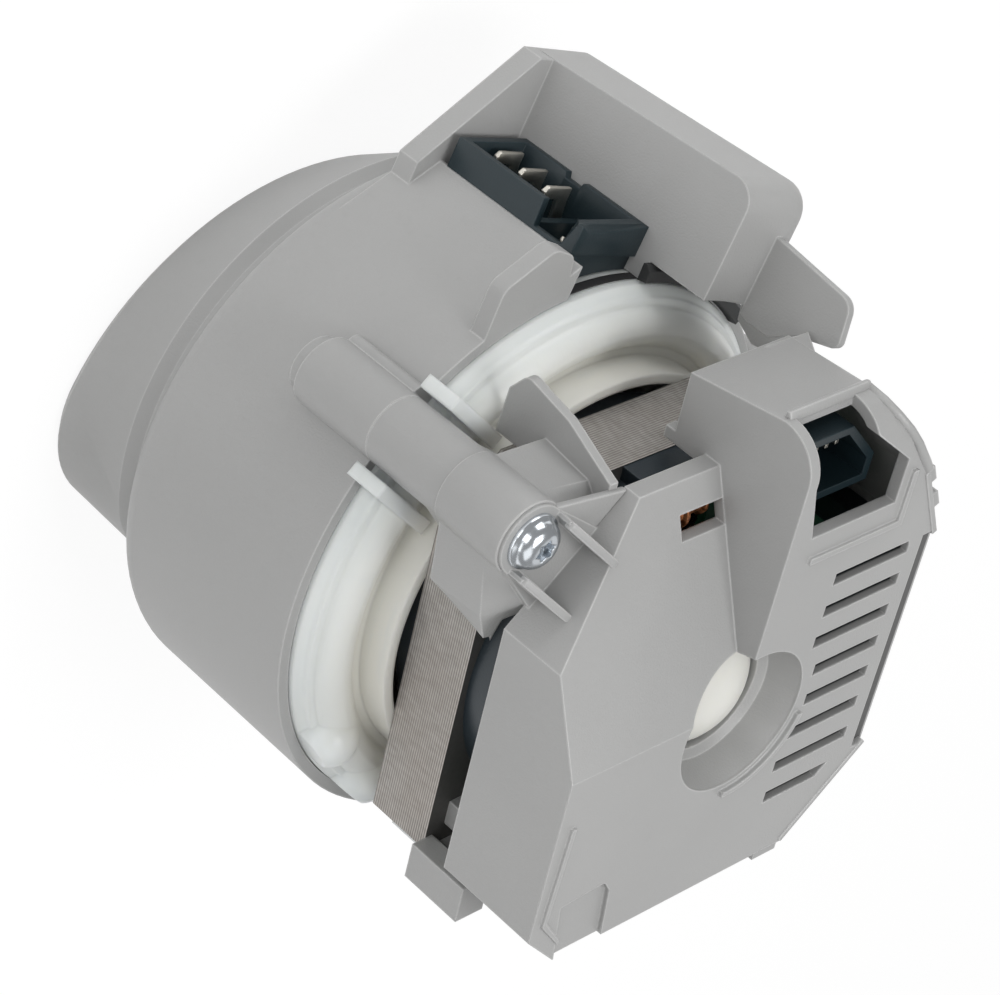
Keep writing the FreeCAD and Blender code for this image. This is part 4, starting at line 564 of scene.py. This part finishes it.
# %% [markdown]
# The recess starts as the small top face. Groups of its corners are drawn in, three times with
# wider groups, which makes the six lobes, and then the face is sunk and closed to a cone. The
# shank is pulled down out of the underside, and its end is chamfered.

# %% Recess and shank of the screw
LOBES = 6
LOBE_RINGS = ((0.35, 0.88), (-0.35, 0.86), (-0.85, 0.93))    # width of the group, scale
RECESS_DEPTH, RECESS_TIP = 1.7, 0.4
SHANK_RADIUS, SHANK_LENGTH, SHANK_TIP = 2.2, 43.0, 1.0


def screw_recess():
    top = SEAT_Z + DOME[-1][1] * MM
    for phase, scale in LOBE_RINGS:
        pick(lambda place: place.z > top - TOUCH * MM
             and math.cos(LOBES * math.atan2(place.y, place.x)) < -phase, "verts")
        squeeze(scale, scale, 1.0, (0, 0, top))
    pick(lambda middle, normal: normal.z > ALONG and middle.z > top - TOUCH * MM)
    pull(z=-RECESS_DEPTH * MM)
    pull(z=-RECESS_TIP * MM)
    squeeze(0.3, 0.3, 1.0, (0, 0, top))


def screw_shank():
    pick(lambda middle, normal: normal.z < -ALONG)
    bpy.ops.mesh.inset(thickness=(HEAD_RADIUS - SHANK_RADIUS) * MM)
    pull(z=-SHANK_LENGTH * MM)
    pull(z=-SHANK_TIP * MM)
    squeeze(0.6, 0.6, 1.0, (0, 0, SEAT_Z))


screw_recess()
screw_shank()
screw = close("cover_screw", zinc, angle=50.0)

# %% [markdown]
# Three of them hold the cover. The screw stands on the pump's axis, so each place is a move out to
# its radius and a turn about the axis. Two are copies, and the first is put in its place last.

# %% Three cover screws
SCREW_PLACES = ((57.0, 136.0), (55.6, 262.0), (57.0, 16.0))    # radius, angle
for number, (radius, degrees) in enumerate(SCREW_PLACES[1:], 2):
    place = moved(0, 0, 0, degrees) @ moved(radius, 0, 0)
    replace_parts(copy_to(screw, "cover_screw_%d" % number, place), "cover_screws")
screw.data.transform(moved(0, 0, 0, SCREW_PLACES[0][1]) @ moved(SCREW_PLACES[0][0], 0, 0))
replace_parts(screw, "cover_screws")
print("screws:", len(SCREW_PLACES))

# %% [markdown]
# The heater connector is a black box that stands in the pocket of the hood, open on top, with two
# rooms. Its near wall has a notch and its far wall a step. A box is opened by an inset and an
# extrusion down to the floor. Cuts across it give the corners that are then moved to make the
# notch, the step and the raised end. The hood is aslant in the frame, and so it is turned last.

# %% Heater connector
ASLANT = moved(0, 0, 0, -17.0)
BOX_WALL, BOX_DEPTH, BOX_TOP = 1.6, 10.3, 60.0
NOTCH_CUTS, DIVIDER_CUTS = (42.0, 42.4, 46.0, 46.4), (48.2, 49.8)
STEP_CUTS = (51.4, 51.7, 58.2)
start(bpy.ops.mesh.primitive_cube_add, size=1.0, location=mm(-11.25, 52.65, 45.25),
      scale=mm(17.5, 16.3, 29.5))
pick(lambda middle, normal: normal.y > ALONG)
bpy.ops.mesh.inset(thickness=BOX_WALL * MM)
pull(y=-BOX_DEPTH * MM)
cut(2, *NOTCH_CUTS, *DIVIDER_CUTS, *STEP_CUTS)
cut(0, -17.5)
cut(1, 55.6)

# The wall between the rooms rises from the floor.
pick(lambda middle, normal: normal.y > ALONG and middle.y < 52.0 * MM
     and 48.3 * MM < middle.z < 49.7 * MM)
pull(y=5.0 * MM)

# The step of the far wall, the near wall a little higher, and the notch in it.
shift(lambda place: place.x < -18.3 and place.y > BOX_TOP and 51.5 < place.z < 58.3, y=-5.0)
shift(lambda place: place.x > -4.2 and place.y > BOX_TOP, y=0.5)
shift(lambda place: place.x > -4.2 and place.y > BOX_TOP and 42.1 < place.z < 46.1, y=-1.1)

# The raised end, with one corner lower.
pick(lambda middle, normal: normal.z > ALONG and middle.z > 59.9 * MM and middle.y > 55.6 * MM)
pull(z=1.0 * MM)
shift(lambda place: place.z > 60.5 and place.y > BOX_TOP and -18 < place.x < -17, y=-1.3)
connector = close("connector_box", connector_plastic, 0.25 * MM)
connector.data.transform(ASLANT)
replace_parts(connector, "heater_connector")

# %% [markdown]
# Three tin-plated blades come up through its floor from the heater. Seen from the end each is a
# figure seven: a leg, and a tab bent over to one side. The tab is modelled first, and the leg is
# extruded down from it in three slanting steps.

# %% Heater blades
BLADE_HEIGHTS = (34.0, 40.0, 46.0)
LEG_STEPS = ((0.1, -0.5), (0.9, -4.9), (0.2, -14.6))
start(bpy.ops.mesh.primitive_cube_add, size=1.0, location=mm(-9.95, 59.15, 0.0),
      scale=mm(6.9, 2.3, 0.9))
cut(0, -12.6, -9.2)
shift(lambda place: place.x < -13 and place.y > 60, y=-0.9)
pick(lambda middle, normal: normal.y < -ALONG and middle.x > -9.2 * MM)
for step_x, step_y in LEG_STEPS:
    pull(step_x * MM, step_y * MM)
blade = close("heater_blade_1", tin, 0.2 * MM)
for number, height in enumerate(BLADE_HEIGHTS[1:], 2):
    place = ASLANT @ moved(0, 0, height)
    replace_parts(copy_to(blade, "heater_blade_%d" % number, place), "heater_terminals")
blade.data.transform(ASLANT @ moved(0, 0, BLADE_HEIGHTS[0]))
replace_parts(blade, "heater_terminals")
print("blades:", len(BLADE_HEIGHTS))

# %% [markdown]
# In the other room stand two thin square pins, each drawn to a blunt point. One is pulled up from
# the floor and the other is its copy.

# %% Pins in the other room
PIN_PLACES = ((-15.7, 55.3), (-7.3, 50.9))    # across the room, along the pump's axis
start(bpy.ops.mesh.primitive_cube_add, size=1.0, location=mm(0.0, 49.5, 0.0),
      scale=mm(0.9, 4.0, 0.9))
pick(lambda middle, normal: normal.y > ALONG)
pull(y=3.5 * MM)
pull(y=0.8 * MM)
squeeze(0.5, 1.0, 0.5)
pin = close("sensor_pin_1", tin, 0.08 * MM)
copy_to(pin, "sensor_pin_2", ASLANT @ moved(PIN_PLACES[1][0], 0, PIN_PLACES[1][1]))
pin.data.transform(ASLANT @ moved(PIN_PLACES[0][0], 0, PIN_PLACES[0][1]))
print("pins:", len(PIN_PLACES))

# %% [markdown]
# Between the white flange and the hood a dark lip shows on the rim of the drum. It is part rubber
# seal and part painted shade: a near-black piece that fills the shaded gap under the hood. It is
# one small section, spun about the pump's axis over the width of the hood, which keeps it the
# same height all along.

# %% Dark lip under the hood
LIP = ((53.1, 64.1), (56.3, 64.1), (56.4, 65.0), (55.6, 65.9), (53.4, 65.9))    # radius, height
LIP_START, LIP_SWEEP = math.radians(-4.0), math.radians(36.0)    # from the hood's own upright
outline([(radius * math.sin(LIP_START), radius * math.cos(LIP_START), height)
         for radius, height in LIP])
bpy.ops.mesh.spin(steps=24, angle=LIP_SWEEP, center=(0, 0, 0), axis=(0, 0, 1))
# Its near-black colour is partly painted shade for the gap under the hood.
lip = close("flange_lip", plain("lip_rubber_and_gap_shade", (0.028, 0.029, 0.03), 0.5))
lip.data.transform(ASLANT)

# %% [markdown]
# The wing at the side of the hood stands on a foot, a flat plate that runs out to a point over
# the flange. A flat plate is easiest as an outline that is pulled to its thickness.

# %% Foot of the wing
WING_FOOT = ((55.8, 76.3), (52.9, 77.0), (50.8, 81.5), (51.8, 88.0), (56.8, 88.4), (55.6, 82.0))
outline([(9.5, across, height) for across, height in WING_FOOT])
pull(x=1.4 * MM)
foot = close("wing_foot", grey_plastic, 0.3 * MM)
foot.data.transform(ASLANT)

# %% [markdown]
# The cover's screw arm is stiffened by two ribs that climb to the wall of the cover, with a flat
# web on one side, and round the boss of the housing its sleeve ends in a thin step. Ribs and web
# are outlines that are pulled, and the sleeve is a narrow section spun half round the boss. All
# are drawn with the arm along X and then turned to where it is.

# %% Screw arm: ribs, web and sleeve
AT_ARM = moved(0, 0, 0, SCREW_PLACES[0][1])
RIB = ((43.6, 100.0), (43.6, 105.0), (46.0, 104.6), (55.6, 101.3), (55.9, 100.0))
WEB = ((43.8, -16.0), (57.0, -6.4), (57.0, 0.0), (43.8, 0.0))
SLEEVE = ((6.3, 83.0), (6.8, 83.0), (6.8, 97.4), (6.3, 97.4))    # radius, height
BOSS_RADIUS = 57.0    # of the boss's middle from the pump's axis

outline([(out, 4.85, height) for out, height in RIB])
pull(y=1.5 * MM)
rib = close("arm_rib_1", cover_plastic, 0.3 * MM)
copy_to(rib, "arm_rib_2", AT_ARM @ moved(0, -11.2, 0))
rib.data.transform(AT_ARM)

outline([(out, across, 96.6) for out, across in WEB])
pull(z=1.3 * MM)
close("arm_web", cover_plastic, 0.3 * MM).data.transform(AT_ARM)

outline([(BOSS_RADIUS, -radius, height) for radius, height in SLEEVE])
bpy.ops.mesh.spin(steps=24, angle=math.radians(-180.0), center=mm(BOSS_RADIUS, 0, 0),
                  axis=(0, 0, 1))
sleeve = close("arm_sleeve", cover_plastic, 0.12 * MM, 50.0)
sleeve.data.transform(AT_ARM)
print("sleeve spans:", [round(part / MM, 1) for part in sleeve.dimensions])

# %% [markdown]
# The right edge of the rear cover ends in a narrow lip with a groove behind it. The slanted edges
# above and below carry a lower bead. Each is a section, drawn beside the edge and pulled along it.
# The groove is so shallow that soft lamps would fill it with light, so its faces are painted a
# deeper grey, as painted shade.

# %% Lips of the rear cover
LIP_SECTION = ((-3.9, 117.4), (-3.6, 118.02), (-3.35, 117.9), (-2.8, 116.4), (-2.3, 116.2),
               (-0.55, 117.2), (0.0, 117.2), (0.3, 116.7), (0.3, 114.4), (-0.8, 114.4))
BEAD_SECTION = ((-1.3, 117.6), (-1.2, 118.3), (-0.2, 118.3), (0.3, 117.7), (0.3, 115.4),
                (-0.4, 115.0))
GROOVE_FROM, GROOVE_TO, GROOVE_ABOVE = -3.2, -0.9, 115.9
LOW, LOW_RIGHT, HIGH_RIGHT, HIGH = (23.0, -37.8), (39.3, -21.5), (39.3, 26.0), (31.2, 41.4)
groove_painted_shade = moulded("grey_groove_painted_shade", toned(GREY, 0.3), 0.5, painted_highlight=0.1)


def edge_strip(name, section, begin, end):
    """A section, drawn outwards from an edge of the cover, pulled from one corner to the next."""
    along = Vector(end) - Vector(begin)
    outline([(out, 0.0, height) for out, height in section])
    pull(y=along.length * MM)
    strip = close(name, cover_plastic, 0.12 * MM)
    # Painted shade: the faces of the groove get the deeper grey of the second slot.
    strip.data.materials.append(groove_painted_shade)
    for face in strip.data.polygons:
        out, height = face.center.x / MM, face.center.z / MM
        in_groove = GROOVE_FROM < out < GROOVE_TO and height > GROOVE_ABOVE
        face.material_index = int(section is LIP_SECTION and in_groove)
    turn = math.degrees(math.atan2(along.y, along.x)) - 90.0
    strip.data.transform(moved(begin[0], begin[1], 0, turn))


edge_strip("cover_lip_right", LIP_SECTION, LOW_RIGHT, HIGH_RIGHT)
edge_strip("cover_lip_high", BEAD_SECTION, HIGH_RIGHT, HIGH)
edge_strip("cover_lip_low", BEAD_SECTION, LOW, LOW_RIGHT)

# %% [markdown]
# Over the opening for the motor's plug the cover has a low brow, and a round bead runs from it
# down the corner and along the upper edge. The brow is an outline that is pulled. The bead is a
# small ring, aslant across its path, pulled from point to point.

# %% Brow and rim of the socket
BROW = ((56.0, 108.7), (58.0, 108.9), (58.2, 109.8), (57.2, 110.3), (56.0, 110.2))
RIM_PATH = ((18.6, 57.0, 109.4), (19.0, 56.4, 113.0), (20.2, 54.8, 115.7), (22.4, 52.2, 117.4),
            (25.0, 49.0, 118.1), (29.0, 44.0, 118.1), (31.0, 41.4, 118.0))
RIM_RADIUS, RIM_SIDES = 0.85, 8
RIM_TURN = Vector((0.35, -0.75, 0.55)).to_track_quat("Z", "Y").to_matrix()


def rim_ring():
    """The corners of a ring about the first point of the path."""
    angles = [math.radians(360.0 / RIM_SIDES * side) for side in range(RIM_SIDES)]
    flat = [Vector((math.cos(angle), math.sin(angle), 0)) for angle in angles]
    return [Vector(RIM_PATH[0]) + RIM_TURN @ corner * RIM_RADIUS for corner in flat]


outline([(-0.6, across, height) for across, height in BROW])
pull(x=19.4 * MM)
close("socket_brow", cover_plastic, 0.3 * MM)
outline(rim_ring())
for begin, end in zip(RIM_PATH, RIM_PATH[1:]):
    pull(*[(b - a) * MM for a, b in zip(begin, end)])
close("socket_rim", cover_plastic, angle=50.0)

# %% [markdown]
# Behind the small window of the sloping face a copper winding shows, on two legs that go down to
# the rear insulator. Its flanges are scaled out of the ends of the cylinder, and the legs are
# pulled down from the lowest faces of the flanges.

# %% Winding behind the small window
WINDING_MIDDLE = mm(-6.2, 34.6, 98.8)
WINDING_RADIUS, WINDING_LENGTH, WINDING_LEG = 1.9, 5.2, 6.0
start(bpy.ops.mesh.primitive_cylinder_add, vertices=28, radius=WINDING_RADIUS * MM,
      depth=WINDING_LENGTH * MM, location=WINDING_MIDDLE, rotation=(0, math.radians(90.0), 0))
for side in (-1, 1):
    pick(lambda middle, normal: normal.x * side > ALONG)
    pull(x=side * 0.1 * MM)
    squeeze(1.0, 1.35, 1.35, (0, WINDING_MIDDLE[1], WINDING_MIDDLE[2]))
    pull(x=side * 0.7 * MM)
pick(lambda middle, normal: abs(middle.x - WINDING_MIDDLE[0]) > 2.8 * MM and normal.z < -0.95)
pull(z=-WINDING_LEG * MM)
close("lead_winding", wound("copper_winding"), 0.15 * MM)

# %% [markdown]
# The studio has a white floor with no horizon in view. To the camera and in reflections the floor
# glows white. For all other light it is matt, so it keeps the pump's shadow.

# %% Floor
FLOOR_SIZE, FLOOR_GAP = 6.0, 0.0002
FLOOR_GLOW, FLOOR_SEEN = 1.06, 0.85    # strength of the glow, and its share where it is seen


def studio_floor():
    bpy.ops.object.select_all(action="DESELECT")
    bpy.ops.mesh.primitive_plane_add(size=FLOOR_SIZE, location=(0, 0, cad_box[0][2] - FLOOR_GAP))
    floor = bpy.context.object
    floor.name = "floor"
    finish = new_finish("floor_white")
    camera_ray = finish.node("ShaderNodeLightPath", out="Is Camera Ray")
    seen = camera_ray + finish.node("ShaderNodeLightPath", out="Is Glossy Ray")
    matt = finish.node("ShaderNodeBsdfDiffuse", {"Color": (0.9, 0.9, 0.9, 1.0)})
    glow = finish.node("ShaderNodeEmission", {"Color": (1.0, 1.0, 1.0, 1.0),
                                              "Strength": FLOOR_GLOW})
    both = finish.node("ShaderNodeMixShader", {0: seen * FLOOR_SEEN, 1: matt, 2: glow})
    finish.output(both, "ShaderNodeOutputMaterial")
    floor.data.materials.append(finish.owner)
    print("floor at:", round(floor.location.z, 4))


studio_floor()

# %% [markdown]
# The sky is even, and plain white to the camera. The light that it gives is set apart from that,
# about a third of white, so that the pump is lit softly from all round without being washed out.

# %% Sky
SKY_LEVEL = 0.32


def sky(level):
    world = bpy.data.worlds.new("studio")
    bpy.context.scene.world = world
    finish = Finish(world)
    camera_ray = finish.node("ShaderNodeLightPath", out="Is Camera Ray")
    through = finish.node("ShaderNodeLightPath", out="Is Transmission Ray")
    seen = finish.node("ShaderNodeMath", {0: camera_ray, 1: through}, operation="MAXIMUM")
    strength = finish.node("ShaderNodeMix", {0: seen, 2: level, 3: 1.0})
    white = {"Color": (1.0, 1.0, 1.0, 1.0), "Strength": strength}
    finish.output(finish.node("ShaderNodeBackground", white), "ShaderNodeOutputWorld")
    print("sky:", level)


sky(SKY_LEVEL)

# %% [markdown]
# Six soft square lamps shape the pump: a small key above, a fill from the right, and four large
# weak ones that open the shadows on the left, the front, below and behind. Each is placed along
# the camera's own axes, and its power grows with the square of its distance, so that its level
# says how bright it makes the pump, wherever it stands.

# %% Lamps
LAMPS = {    # right, up and back from the pump's middle, size, level
    "key": (0.2, 0.36, 0.22, 0.25, 0.2),
    "fill": (0.41, -0.2, 0.4, 0.3, 0.48),
    "left": (-0.9, -0.3, 0.6, 0.7, 0.19),
    "front": (-0.3, 0.1, 1.0, 0.5, 0.17),
    "low": (0.1, -0.9, 0.5, 0.8, 0.16),
    "far": (0.61, -0.49, -0.53, 0.8, 0.1),
}
PUMP_MIDDLE = Vector((0.0, 0.0, 0.07))


def lamp(name, right, up, back, size, level):
    """A soft square lamp that looks at the pump's middle; places are in metres."""
    offset = CAMERA_RIGHT * right + CAMERA_UP * up + CAMERA_BACK * back
    data = bpy.data.lights.new(name, "AREA")
    data.shape = "SQUARE"
    data.size = size
    data.energy = level * math.pi ** 2 * offset.length_squared
    made = bpy.data.objects.new(name, data)
    bpy.context.scene.collection.objects.link(made)
    made.location = PUMP_MIDDLE + offset
    made.rotation_euler = offset.to_track_quat("Z", "Y").to_euler()


for name, numbers in LAMPS.items():
    lamp(name, *numbers)
print("lamps:", *LAMPS)
